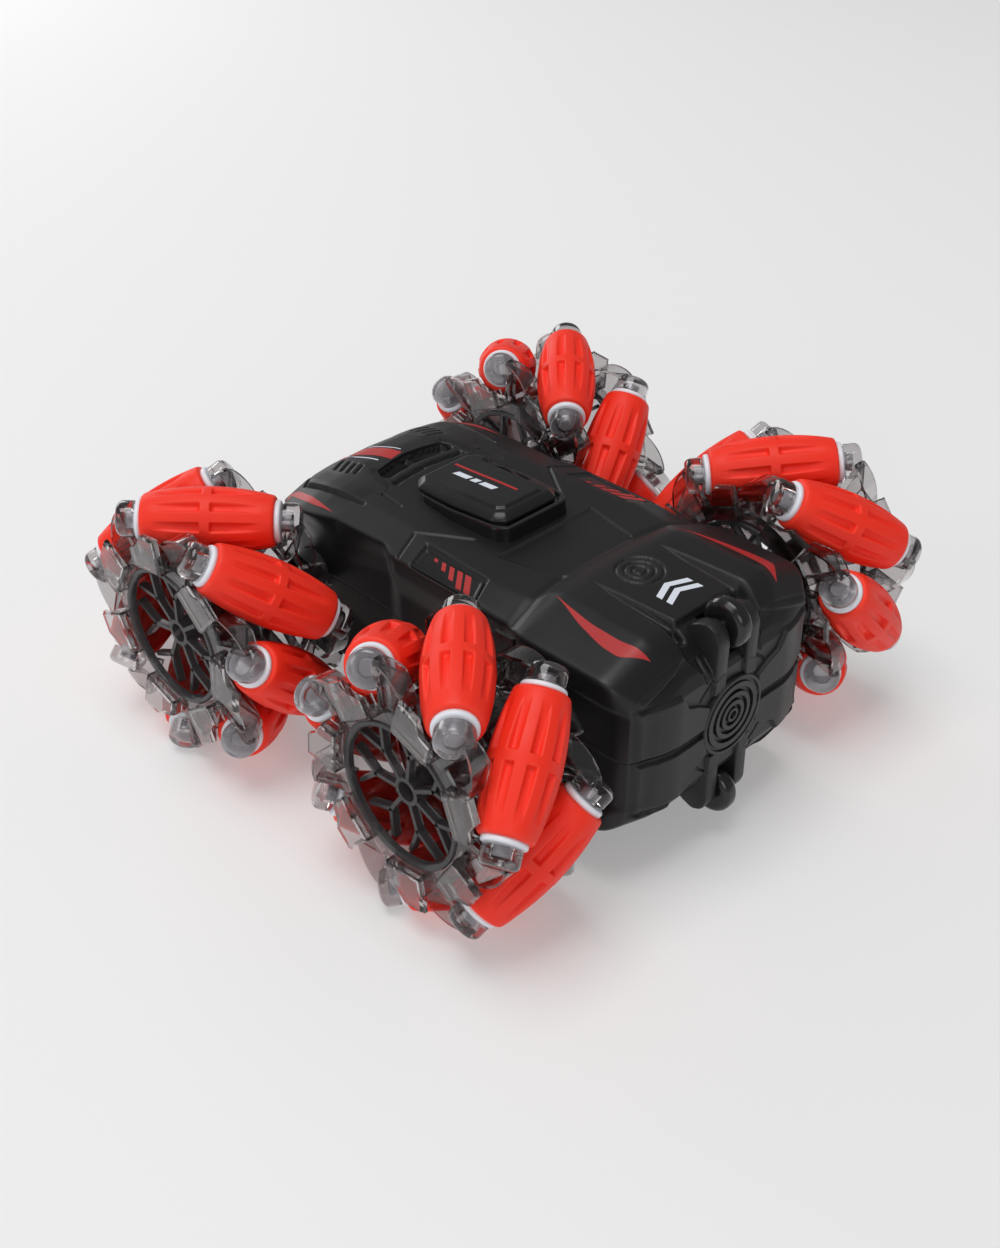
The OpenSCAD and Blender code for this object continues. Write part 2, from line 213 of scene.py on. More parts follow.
def spun(u, r, a):
    """A place across and along a spoke at the angle a, as x and z."""
    return u * math.cos(a) + r * math.sin(a), -u * math.sin(a) + r * math.cos(a)


def lengths(points):
    """The length along a line of points, up to each of them."""
    return np.concatenate([[0], np.cumsum(np.hypot(*np.diff(points, axis=0).T))])


def places(points, t, at):
    """The places at the lengths at, on a line of points at the lengths t."""
    return np.stack([np.interp(at, t, points[:, j]) for j in (0, 1)], 1)


def dress(node, mat, bevel=0.0):
    """Gives a CAD node its material and, with a bevel in mm, rounds its hard edges."""
    obj = nodes[node]
    obj.data.materials.clear()
    obj.data.materials.append(mat)
    if bevel:
        mod = obj.modifiers.new("edge", "BEVEL")
        mod.width = bevel * MM
        mod.segments = 2
        mod.limit_method = "ANGLE"
        mod.angle_limit = math.radians(35)
        mod.harden_normals = False
        mod.use_clamp_overlap = True


# ------------ rollers

RING_R = 38.0
WHEEL_R = 49.4
SLEEVE_HALF = 22.3
FLANGE_HALF = 24.2
FLANGE_R = 7.2
STUB_HALF = 27.4
STUB_R = 2.7
GROOVES = 10
GROOVE_HALF = 1.45
GROOVE_R = 9.6
BAND_HALF = 1.7


def barrel_radius(s):
    """Radius of the barrel at s along its axis, so that the wheel's envelope is a cylinder."""
    u = np.linspace(-SLEEVE_HALF, SLEEVE_HALF, 400)
    lean = math.sin(math.radians(45))
    dist = np.sqrt(RING_R ** 2 + (u * lean) ** 2)
    room = WHEEL_R - dist
    slope = -u * lean ** 2 / dist
    return np.interp(s, u - room * slope, room * np.sqrt(1 - slope ** 2))


def soft_step(x):
    x = np.clip(x, 0, 1)
    return x * x * (3 - 2 * x)


def sleeve_mesh():
    """The grooved rubber sleeve about Z, from its bore over the outside and back."""
    fine = [0.0, 1.0, BAND_HALF - 0.25, BAND_HALF, BAND_HALF + 0.18, BAND_HALF + 0.4]
    along = np.array(fine + [3.2, 5, 7, 9, 11, 12.5, 14, 15.2, 16.2, 17.4, 18.8, 20.2])
    s_mid = np.concatenate([-along[:0:-1], along])
    lip = [(21.3, 0.0), (21.8, 0.12), (22.15, 0.45), (22.3, 0.95)]
    pitch = 2 * math.pi / GROOVES
    edge = GROOVE_HALF / 11.0
    local = [-edge * 1.32, -edge * 1.08, -edge * 0.88, -edge * 0.7, 0, edge * 0.7, edge * 0.88,
             edge * 1.08, edge * 1.32, pitch * 0.3, pitch * 0.4, pitch * 0.5, pitch * 0.6,
             pitch * 0.7]
    psi = np.array([k * pitch + a for k in range(GROOVES) for a in local])
    depth_a = np.array([0, 0.12, 0.85, 1, 1, 1, 0.85, 0.12, 0, 0, 0, 0, 0, 0] * GROOVES)
    rows = []
    for s, drop in [(-s, d) for s, d in lip[::-1]] + [(s, 0.0) for s in s_mid] + lip:
        r = float(barrel_radius(s)) - drop
        sink = soft_step((abs(s) - BAND_HALF + 0.12) / 0.5) * max(r - GROOVE_R, 0.0)
        rows.append((s, r - depth_a * sink))
    bore = 4.9
    inside_wall = np.full(len(psi), bore)
    rows = [(-SLEEVE_HALF, inside_wall)] + rows + [(SLEEVE_HALF, inside_wall)]
    verts = []
    for s, r in rows:
        verts += [(a, b, s) for a, b in zip(r * np.cos(psi), r * np.sin(psi))]
    return np.array(verts) * MM, hoop_faces(len(rows), len(psi))


def lathe(profile, steps=48):
    """A closed solid about Z from (radius, height) points, first and last on the axis."""
    verts, faces = [(0, 0, profile[0][1])], []
    inner = profile[1:-1]
    for r, h in inner:
        verts += [(c, s, h) for c, s in circle(r, steps)]
    verts.append((0, 0, profile[-1][1]))
    last = len(verts) - 1
    faces += [(0, 1 + (k + 1) % steps, 1 + k) for k in range(steps)]
    faces += grid_faces(len(inner), steps, True, 1)
    base = 1 + (len(inner) - 1) * steps
    faces += [(base + k, base + (k + 1) % steps, last) for k in range(steps)]
    return np.array(verts) * MM, faces


def core_profile():
    """The white core with its flanges and stubs, as (radius, height) points about Z."""
    half = [(STUB_R - 0.7, STUB_HALF), (STUB_R - 0.2, STUB_HALF - 0.2), (STUB_R, STUB_HALF - 0.7),
            (STUB_R, FLANGE_HALF + 0.3), (STUB_R + 0.3, FLANGE_HALF), (FLANGE_R - 0.9, FLANGE_HALF),
            (FLANGE_R - 0.3, FLANGE_HALF - 0.2), (FLANGE_R, FLANGE_HALF - 0.7),
            (FLANGE_R, SLEEVE_HALF + 0.02), (4.85, SLEEVE_HALF + 0.02)]
    low = [(r, -h) for r, h in half]
    return [(0, -STUB_HALF)] + low + half[::-1] + [(0, STUB_HALF)]


def place_on(joint, hub_centre):
    """The matrix that turns Z to a roller's axis and X away from the wheel's axis."""
    pos = Vector(joint["pos_m"])
    z = Vector(joint["axis"]).normalized()
    out = pos - hub_centre
    x = (out - z * out.dot(z)).normalized()
    y = z.cross(x)
    return Matrix(((x[0], y[0], z[0], pos[0]), (x[1], y[1], z[1], pos[1]),
                   (x[2], y[2], z[2], pos[2]), (0, 0, 0, 1)))


def make_rollers():
    sleeve_v, sleeve_f = sleeve_mesh()
    sleeve = mesh_object("sleeve_master", sleeve_v, sleeve_f, MATS["rubber"])
    core_v, core_f = lathe(core_profile())
    core = mesh_object("core_master", core_v, core_f, MATS["core"])
    for corner in CORNERS:
        hub_centre = Vector(joints["wheel_spin_" + corner]["pos_m"])
        for k in range(1, ROLLERS + 1):
            tag = f"{corner}_{k}"
            where = place_on(joints["roller_spin_" + tag], hub_centre)
            turn = Matrix.Rotation(math.radians(37 * k + 11 * CORNERS.index(corner)), 4, "Z")
            for label, master, slot in (("sleeve_", sleeve, "roller_rubber"),
                                        ("core_", core, "roller_core")):
                mesh = master.data.copy()
                mesh.transform(where @ turn)
                piece = new_object(label + tag, mesh)
                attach(piece, "roller_" + tag)
                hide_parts("roller_" + tag)
    bpy.data.objects.remove(sleeve)
    bpy.data.objects.remove(core)


make_rollers()

# ------------ hubs

PITCH = 2 * math.pi / ROLLERS
RING_OUT, RING_IN, RING_FACE = 25.5, 23.2, 20.7
HUB_TOP = 25.2
PETAL_AT = math.radians(10.6)
PETAL_HALF, PETAL_INNER, PETAL_OUTER = 8.0, 26.2, 39.2
PETAL_TOP, PETAL_LOW = 23.9, 21.6
SKIRT_TOP, ROOT_LOW = 22.9, 19.6
WEB_LOW, WEB_TOP = 16.8, 19.9
SPIDER_LOW, SPIDER_TOP, BAR_HALF = 14.6, 17.4, 0.75
HUB_CREASE = 28
NOWHERE = -50.0


def polar3(angle_deg, r, y):
    a = math.radians(angle_deg)
    return (r * math.sin(a), y, r * math.cos(a))


class Build:
    """Vertices and faces of several closed shapes, gathered for one mesh."""

    def __init__(self):
        self.verts, self.faces = [], []

    def put(self, verts, faces):
        base = len(self.verts)
        self.verts += [tuple(v) for v in verts]
        self.faces += [tuple(base + i for i in f) for f in faces]

    def slab(self, rim, low, high, inset=0.5):
        """A plate over an outline of (x, z) points between two heights, its upper rim chamfered."""
        n = len(rim)
        pts = np.array(rim, float)
        low = np.broadcast_to(np.asarray(low, float), (n,))
        high = np.broadcast_to(np.asarray(high, float), (n,))
        mid = pts.mean(0)
        out = pts - mid
        inner = mid + out * (1 - inset / np.hypot(*out.T))[:, None]
        rings = [(pts, low), (pts, high - inset), (inner, high)]
        verts = [(p[0], y, p[1]) for ring, ys in rings for p, y in zip(ring, ys)]
        faces = [tuple(range(n))[::-1], tuple(range(2 * n, 3 * n))]
        faces += [(r * n + i, r * n + (i + 1) % n, (r + 1) * n + (i + 1) % n, (r + 1) * n + i)
                  for r in range(2) for i in range(n)]
        self.put(verts, faces)

    def turned(self, profile, steps=120):
        """A closed ring about Y from (radius, height) points."""
        verts = [(s, y, c) for r, y in profile for c, s in circle(r, steps)]
        self.put(verts, hoop_faces(len(profile), steps))

    def sheet(self, top, low):
        """A closed body between two grids of points with the same rows and columns."""
        rows, cols = len(top), len(top[0])
        n = rows * cols
        verts = [p for row in top for p in row] + [p for row in low for p in row]
        faces = []
        for i in range(rows - 1):
            for j in range(cols - 1):
                a = i * cols + j
                faces.append((a, a + 1, a + cols + 1, a + cols))
                faces.append((n + a, n + a + cols, n + a + cols + 1, n + a + 1))
        edge = list(range(cols)) + [i * cols + cols - 1 for i in range(1, rows)]
        edge += [(rows - 1) * cols + j for j in range(cols - 2, -1, -1)]
        edge += [i * cols for i in range(rows - 2, 0, -1)]
        for a, b in zip(edge, edge[1:] + edge[:1]):
            faces.append((b, a, n + a, n + b))
        self.put(verts, faces)


def roller_top(x, z):
    """Highest outboard point of any roller's barrel over a place on the hub's face."""
    best = np.full(np.shape(x), NOWHERE)
    for k in range(ROLLERS):
        across, radial = spun(x, z, -k * PITCH)
        y = across
        for _ in range(6):
            t = np.clip((across + y) / math.sqrt(2), -SLEEVE_HALF, FLANGE_HALF)
            rho = np.where(np.abs(t) <= SLEEVE_HALF, barrel_radius(t), FLANGE_R)
            room = rho ** 2 - (radial - RING_R) ** 2
            y = across + math.sqrt(2) * np.sqrt(np.maximum(room, 0))
        reach = (across + y) / math.sqrt(2) < FLANGE_HALF + 0.4
        best = np.maximum(best, np.where((room > 0) & reach, y, NOWHERE))
    return best


def hub_petal(b, k):
    """A raised panel with skirts, bent just enough to clear the roller behind it."""
    a = k * PITCH + PETAL_AT
    wide, inner, outer = PETAL_HALF, PETAL_INNER, PETAL_OUTER
    us = np.array([-wide, -wide + 0.25, -wide + 0.8, -wide + 1.3, -3, 0, 3, wide - 1.3, wide - 0.8,
                   wide - 0.25, wide])
    rs = np.array([inner, inner + 0.25, inner + 0.8, 28.5, 30.5, 32.5, 34.5, outer - 0.8,
                   outer - 0.25, outer])
    u, r = np.meshgrid(us, rs)
    # the outer corner near the cup is cut off
    over = np.clip(u * 0.62 + (r - 36.0), 0, None)
    r = r - np.where(u > 0, over * 0.8, 0)
    x, z = spun(u, r, a)
    floor = np.maximum(roller_top(x, z) + 0.35, PETAL_LOW)
    rim = np.minimum(np.minimum(u + wide, wide - u), np.minimum(r - inner, outer - r))
    high = np.minimum(PETAL_TOP - 0.9 * (1 - soft_step(rim / 0.9)), HUB_TOP)
    high = np.minimum(np.maximum(high, floor + 0.7), HUB_TOP)
    low = np.minimum(floor, high - 0.5)
    b.sheet(np.stack([x, high, z], -1), np.stack([x, low, z], -1))
    # skirts on the two sides and at the root
    for side, deep in ((-1, 16.4), (1, 19.2)):
        rows_t, rows_l = [], []
        for rr in (inner, 28.5, 31, 33.2):
            line_t, line_l = [], []
            for uu in (side * wide, side * (wide - 1.0)):
                xx, zz = spun(uu, rr, a)
                free = float(roller_top(np.array([xx]), np.array([zz]))[0]) + 0.4
                line_t.append((xx, SKIRT_TOP, zz))
                line_l.append((xx, min(max(free, deep), 22.2), zz))
            rows_t.append(line_t)
            rows_l.append(line_l)
        b.sheet(rows_t, rows_l)
    root = [[spun(uu, rr, a) for uu in (-wide, 0, wide)] for rr in (inner, inner + 1.0)]
    b.sheet(*([[(x, y, z) for x, z in row] for row in root] for y in (SKIRT_TOP, ROOT_LOW)))


def hub_wedge(b, k):
    """Two facets in a V between a cup and the next panel, closed outside by a thin curved wall."""
    base = math.degrees(k * PITCH)
    start, crease, end = 33.5, 41.5, 50.6
    rows_t, rows_l = [], []
    for f in np.linspace(0, 1, 6):
        lift = 3.0 * (1 - f)
        row = []
        for a, r0, r1, y in ((start, 26.5, 45.2, 19.6), (crease, 26.0, 41.6, 14.6),
                             (end, 26.4, 36.6, 20.6)):
            row.append(polar3(base + a, r0 + (r1 - r0) * f, y + lift * (0.5 if y < 16 else 0)))
        rows_t.append(row)
        rows_l.append([(p[0], p[1] - 1.0, p[2]) for p in row])
    b.sheet(rows_t, rows_l)
    rim_t, rim_l = [], []
    for f in np.linspace(0, 1, 12):
        a = base + start - 1.5 + (end + 1 - start + 1.5) * f
        r = 45.9 - 9.0 * f ** 1.25 + 0.9 * math.sin(math.pi * f)
        y_high = 20.4 + 0.8 * f
        y_low = 13.6 + 4 * abs(f - 0.45)
        rim_t.append([polar3(a, r, y_high), polar3(a, r - 1.0, y_high)])
        rim_l.append([polar3(a, r, y_low), polar3(a, r - 1.0, y_low)])
    b.sheet(rim_t, rim_l)


def hub_cup(b, k):
    """The cup around a roller's stub, turned about the roller's axis, and its web to the ring."""
    a = k * PITCH
    tangent = np.array([math.cos(a), 0, -math.sin(a)])
    axis = (tangent + np.array([0, 1, 0])) / math.sqrt(2)
    radial = np.array([math.sin(a), 0, math.cos(a)])
    side = np.cross(axis, radial)
    profile = [(2.95, 24.75), (5.9, 24.75), (6.3, 25.1)]
    profile += [(4.1 + 2.2 * math.cos(math.radians(t)), 28.7 + 2.2 * math.sin(math.radians(t)))
                for t in (0, 20, 40, 60, 80)]
    profile += [(0.001, 30.95), (0.001, 27.75), (2.95, 27.75)]
    steps = 40
    b.put([axis * t + radial * (RING_R + c) + side * s
           for r, t in profile for c, s in circle(r, steps)], hoop_faces(len(profile), steps))
    base = math.degrees(a)
    # the web stays clear of the stub and of the core's flange
    rim = [polar3(base + p, r, 0) for p, r in ((25.5, 26.2), (34.0, 26.2), (34.5, 40), (34.2, 45.0),
                                               (31.7, 46.6), (30.7, 44.5), (30.5, 35.8))]
    b.slab([(p[0], p[2]) for p in rim], WEB_LOW, WEB_TOP)


def spider(b, outer):
    """The dark web: a post on the axle, open for the screw on the outer half, and seven forks."""
    post = [(3.12, 0.3), (4.9, 0.3), (4.9, SPIDER_TOP), (3.45, SPIDER_TOP)]
    post += [(3.45, 9.05), (1.65, 9.05), (1.65, 8.1), (3.12, 8.1)] if outer else []
    b.turned(post, 48)
    for k in range(ROLLERS):
        a = k * PITCH

        def bar(p, q, half):
            p, q = np.array(p), np.array(q)
            d = (q - p) / np.hypot(*(q - p))
            n = np.array([-d[1], d[0]]) * half
            pts = [p + n, q + n, q - n, p - n]
            b.slab([spun(x, z, a) for x, z in pts], SPIDER_LOW, SPIDER_TOP, 0.25)

        bar((0, 4.6), (0, 14.2), BAR_HALF)
        for s in (-1, 1):
            tip = math.radians(s * 16.5)
            bar((-s * 0.3, 13.6), (23.6 * math.sin(tip), 23.6 * math.cos(tip)), BAR_HALF)


def clear_half():
    """The clear moulding of one hub half: its drum, its rounded lip, the panels and the cups."""
    clear = Build()
    clear.turned([(23.4, 0.3), (24.6, 0.3), (RING_OUT - 0.1, 4), (RING_OUT - 0.1, 18.4),
                  (23.4, 18.4)])
    clear.turned([(RING_OUT - 0.3, 17.6), (29.4, 18.4), (30.2, 19.0), (29.6, 19.7), (26.2, 20.1),
                  (RING_OUT - 0.3, 20.1)])
    for k in range(ROLLERS):
        hub_petal(clear, k)
        hub_wedge(clear, k)
        hub_cup(clear, k)
    return clear


def dark_half(outer):
    """The dark ring of one hub half with its forked web."""
    dark = Build()
    dark.turned([(RING_IN, 18.2), (RING_OUT, 18.2), (RING_OUT, RING_FACE - 0.5),
                 (RING_OUT - 0.5, RING_FACE), (RING_IN + 0.5, RING_FACE),
                 (RING_IN, RING_FACE - 0.5)])
    spider(dark, outer)
    return dark


def hub_piece(build, name, corner, inner, mat):
    """A copy of a hub shape on one wheel, mirrored as the CAD mirrors it."""
    centre = np.array(joints["wheel_spin_" + corner]["pos_m"]) / MM
    first = np.array(joints["roller_spin_" + corner + "_1"]["pos_m"]) / MM - centre
    turn = math.atan2(first[0], first[2])
    flip = np.sign(centre) * ((-1, -1, 1) if inner else (1, 1, 1))
    x, y, z = (np.array(build.verts, float) * flip).T
    x, z = spun(x, z, turn)
    obj = mesh_object(name, (np.stack([x, y, z], 1) + centre) * MM, build.faces, mat, False)
    obj.data.set_sharp_from_angle(angle=math.radians(HUB_CREASE))
    obj.data.polygons.foreach_set("use_smooth", [True] * len(obj.data.polygons))
    half = "hub_inner_" if inner else "hub_outer_"
    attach(obj, "wheel_" + corner)
    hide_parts(half + corner)
    return obj


def make_hubs():
    clear, dark_out, dark_in = clear_half(), dark_half(True), dark_half(False)
    for corner in CORNERS:
        for inner, tag in ((False, "_out"), (True, "_in")):
            hub_piece(clear, "hub_clear_" + corner + tag, corner, inner, MATS["clear"])
            hub_piece(dark_in if inner else dark_out, "hub_ring_" + corner + tag, corner, inner,
                      MATS["dark"])


make_hubs()

# ------------ body skin

# Half cross-sections, from the parting line up to the middle: (half width, height above parting)
SECTIONS = [
    (-97.5, [(42.5, 0), (42.5, 17.5), (43.4, 19.5), (42.6, 24), (26, 28.6), (15, 28.4), (0, 28.4)]),
    (-93, [(44.5, 0), (44.5, 18.5), (46.6, 20.5), (46.6, 27.6), (28, 33.6), (15, 33.0), (0, 33)]),
    (-89, [(44.5, 0), (44.5, 18.5), (47.5, 20.5), (47.6, 29.2), (28, 35.8), (15, 35.2), (0, 35.2)]),
    (-60, [(44.5, 0), (44.5, 18.5), (47.8, 20.5), (48, 29.5), (27.5, 36), (15, 35.6), (0, 35.4)]),
    (-54.5, [(44.3, 0), (44.3, 18.5), (47.4, 20.8), (47.3, 29.2), (27.3, 35.6), (15, 35.4),
             (0, 35.2)]),
    (-50.5, [(43.4, 0), (43.4, 17), (46, 20.6), (46, 28.6), (28, 34.4), (15.5, 34.6), (0, 34.6)]),
    (-46, [(41.5, 0), (41.5, 12), (43.5, 20), (44.4, 28.0), (33, 32.2), (17, 32.8), (0, 32.8)]),
    (-29, [(41, 0), (41, 12), (44, 22.0), (45, 29), (35, 31.9), (15, 31.9), (0, 31.8)]),
    (-8, [(41, 0), (41, 12), (44, 22.0), (45, 29), (33, 31.9), (14, 31.6), (0, 31.6)]),
    (9, [(41, 0), (41, 12), (44, 22.5), (44.6, 29), (32, 32), (14, 31.9), (0, 32)]),
    (15, [(39, 0), (39, 16), (40, 22.5), (42, 29.6), (31, 32), (16, 32.3), (0, 32.6)]),
    (41, [(39, 0), (39, 10), (40.5, 18.5), (43, 28.8), (30.5, 31.8), (18, 33.2), (0, 33.8)]),
    (50, [(39, 0), (39, 12), (42, 21), (45.4, 27.4), (31.5, 31.6), (18, 33), (0, 33.6)]),
    (57, [(39, 0), (39, 12), (42.5, 21), (45.6, 26.6), (32, 30.8), (18, 32.6), (0, 33.2)]),
    (66, [(38, 0), (38, 13), (41.6, 20), (44, 24.8), (31.5, 29.2), (18, 30.6), (0, 31.2)]),
    (72, [(36, 0), (36.5, 12), (38.8, 18), (40.8, 22.2), (29.5, 26.4), (17, 27.6), (0, 28.2)]),
    (77, [(30, 0), (31, 8), (32, 13), (32.6, 16.4), (24, 19.4), (14, 20.4), (0, 21)]),
    (78.6, [(25, 0), (26, 5), (26, 8), (26, 11), (19, 12.6), (10, 13.4), (0, 13.8)]),
]
REAR_X = SECTIONS[0][0]
NOSE_X = SECTIONS[-1][0]
PARTING = 50.0
X_STEP = 0.5
AROUND = 301
ROUND_ALONG = 1.3
ROUND_ACROSS = 1.1
REAR_RINGS, NOSE_RINGS = 95, 59
PARTING_GAP = 0.12
REAR_BULGE = 4.0


def smooth_rows(a, sigma_steps):
    """Gaussian smoothing along the first axis, with the ends held."""
    if sigma_steps < 0.3:
        return a
    half = int(3 * sigma_steps) + 1
    w = np.exp(-0.5 * (np.arange(-half, half + 1) / sigma_steps) ** 2)
    w /= w.sum()
    lead = 2 * a[:1] - a[1:half + 1][::-1]
    tail = 2 * a[-1:] - a[-half - 1:-1][::-1]
    padded = np.concatenate([lead, a, tail])
    out = np.zeros_like(a)
    for k, weight in enumerate(w):
        out += weight * padded[k:k + len(a)]
    return out


def seg_dist(x, y, points):
    """Distance from each (x, y) to an open line through the points."""
    best = np.full(np.shape(x), 1e9)
    for (ax, ay), (bx, by) in zip(points[:-1], points[1:]):
        dx, dy = bx - ax, by - ay
        t = np.clip(((x - ax) * dx + (y - ay) * dy) / (dx * dx + dy * dy), 0, 1)
        best = np.minimum(best, np.hypot(x - ax - t * dx, y - ay - t * dy))
    return best


def inside(x, y, points):
    """Distance to the outline of a polygon, positive inside."""
    ring = points + points[:1]
    d = seg_dist(x, y, ring)
    odd = np.zeros(np.shape(x), bool)
    for (ax, ay), (bx, by) in zip(ring[:-1], ring[1:]):
        cross = (ay > y) != (by > y)
        at = ax + (y - ay) / np.where(by == ay, 1e-9, by - ay) * (bx - ax)
        odd ^= cross & (x < at)
    return np.where(odd, d, -d)


def band(distance, half, soft):
    """1 within half of a line, fading to 0 beyond that."""
    return 1 - soft_step((distance - half) / soft + 0.5)


def groove(x, y, points, half_width, depth, soft=0.25):
    """The height that a groove along a line adds at each (x, y)."""
    return -depth * band(seg_dist(x, y, points), half_width, soft)


def pad(x, y, points, height, soft=0.35):
    """The height that a pad over an outline adds at each (x, y)."""
    return height * soft_step(inside(x, y, points) / soft + 0.5)


SIDE_FRAME = [(-7, 21), (10, 32.4), (5.2, 45.6)]
SIDE_RECESS = [(2.4, 33.6), (-28, 34.6), (-32.5, 46.5), (-1.2, 46.5)]
HOOD_SEAM = [(37.5, 31.7), (52.6, 33.4), (66.2, 34.4), (70.6, 28.7), (72.4, 18), (73, 0)]
SCOOP = [(43.6, 0), (43.3, 6.3), (42.6, 14.8), (43.4, 16), (46.8, 16.2), (48.4, 15), (50.2, 7),
         (50.8, 0)]
SCOOP_STEP = [(38.4, 0), (37.9, 8), (37, 17), (39.4, 16.6), (40.2, 8), (40.6, 0)]


def top_detail(x, y):
    """Height added on the upward faces, from the place seen from above."""
    a = np.abs(y)
    d = groove(x, a, SIDE_FRAME, 0.45, 0.9) - pad(x, a, SIDE_RECESS, 1.1)
    d += groove(x, a, HOOD_SEAM, 0.6, 1.2, 0.5)
    d -= pad(x, a, SCOOP, 3.6, 0.9) + pad(x, a, SCOOP_STEP, 1.8, 0.8)
    # the sunk field between the roof and the rear deck
    field = soft_step((-20 - x) / 0.6) * soft_step((x + 45) / 1.5)
    d -= 0.55 * soft_step((17.6 - a + (x + 43) * 0.22) / 0.5 + 0.5) * field
    # a valley in front of each rear fender
    d += groove(x, a, [(-44.5, 18), (-46.4, 30), (-48.6, 44)], 0.8, 1.1, 4.5)
    # wedge grooves on both sides of the rear deck panel
    run = np.clip((-54 - x) / 34, 0, 1)
    edge_y = 15.3 - 2.0 * run
    wide = 0.4 + 6.0 * run ** 0.8
    past = a - edge_y
    into = soft_step(past / 1.5) * (1 - soft_step((past - wide * 0.4) / (wide * 0.6 + 0.3)))
    d -= (0.7 + 2.6 * run) * into * soft_step((-53 - x) / 2) * (1 - soft_step((-90.5 - x) / 4))
    # the deck panel's dropped edge at the rear
    d -= 2.4 * soft_step((-88 - x) / 1.2) * (1 - soft_step((a - 17) / 2))
    # plain rings on the rear deck
    r = np.hypot(x + 62, y)
    for ring in (2.4, 5.0, 7.9):
        d -= 0.7 * band(np.abs(r - ring), 0.45, 0.35)
    # a short groove beside the roof block
    return d + groove(x, a, [(38, 23.6), (26, 24.4)], 0.4, 0.5, 0.5)


EAR_RIB = [(4.9, 12), (10.2, 12), (10.2, 32), (4.9, 32)]
WING = [(46, 1.4), (43.2, 12), (42.4, 19.2), (25.5, 19.8), (22.6, 14.4), (17.6, 12.4), (12, 9),
        (12, 1.4)]


def rear_detail(y, h):
    """Distance added rearward on the rear face; h is the height above the parting line."""
    a = np.abs(y)
    r = np.hypot(y, h)
    d = pad(a, h, WING, 1.3, 0.5) + pad(a, h, EAR_RIB, 1.1)
    d += groove(a, h, [(13.2, 19), (13.2, 34)], 0.6, 1.0, 0.5)
    # part of a ring around the badge
    arc = np.abs(np.arctan2(h, a) - 1.0) < 0.35
    d -= 0.7 * band(np.abs(r - 20.5), 0.3, 0.4) * arc
    # everything above a sloping line stands out
    skirt = 19.6 + np.clip(45 - a, 0, 32) * 0.34
    d += 1.3 * soft_step((h - skirt) / 0.6 + 0.5) * soft_step((a - 11) / 1.5)
    return d


GRILLE = [(0, 1.6), (13.5, 1.6), (15.5, 5.2), (12, 8.6), (0, 8.6)]
LAMP = [(17.2, 2.2), (23.4, 2.6), (22.8, 7.2), (18.8, 7.6)]


def nose_detail(y, h):
    """Distance added forward on the nose: a recessed grille with bars, and two lamps."""
    a = np.abs(y)
    d = -pad(a, h, GRILLE, 1.2, 0.5)
    for bar in (3.4, 5.2, 7.0):
        d += 0.8 * pad(a, h, GRILLE, 1.0, 0.5) * band(np.abs(h - bar), 0.35, 0.35)
    d -= pad(a, h, LAMP, 0.9, 0.4)
    return d + groove(a, h, [(0, 10.4), (13, 10.4), (17, 9.0), (24, 8.6)], 0.3, 0.4, 0.4)


def section_curves():
    """Smoothed cross-sections: arrays of x, and of y and h around from left to right."""
    xs = np.arange(REAR_X, NOSE_X + X_STEP * 0.5, X_STEP)
    keys = np.array([s[0] for s in SECTIONS])
    half = np.array([s[1] for s in SECTIONS], float)
    flat = np.stack([[np.interp(xs, keys, half[:, i, j]) for j in (0, 1)]
                     for i in range(half.shape[1])])
    ctrl = smooth_rows(np.moveaxis(flat, 2, 0), ROUND_ALONG / X_STEP)
    full = np.concatenate([ctrl, ctrl[:, -2::-1] * np.array([-1, 1])], axis=1)
    out = np.zeros((len(xs), AROUND, 2))
    for i, poly in enumerate(full):
        t = lengths(poly)
        line = places(poly, t, np.linspace(0, t[-1], AROUND))
        out[i] = smooth_rows(line, ROUND_ACROSS / (t[-1] / AROUND))
        out[i, 0], out[i, -1] = poly[0], poly[-1]
    return xs, out


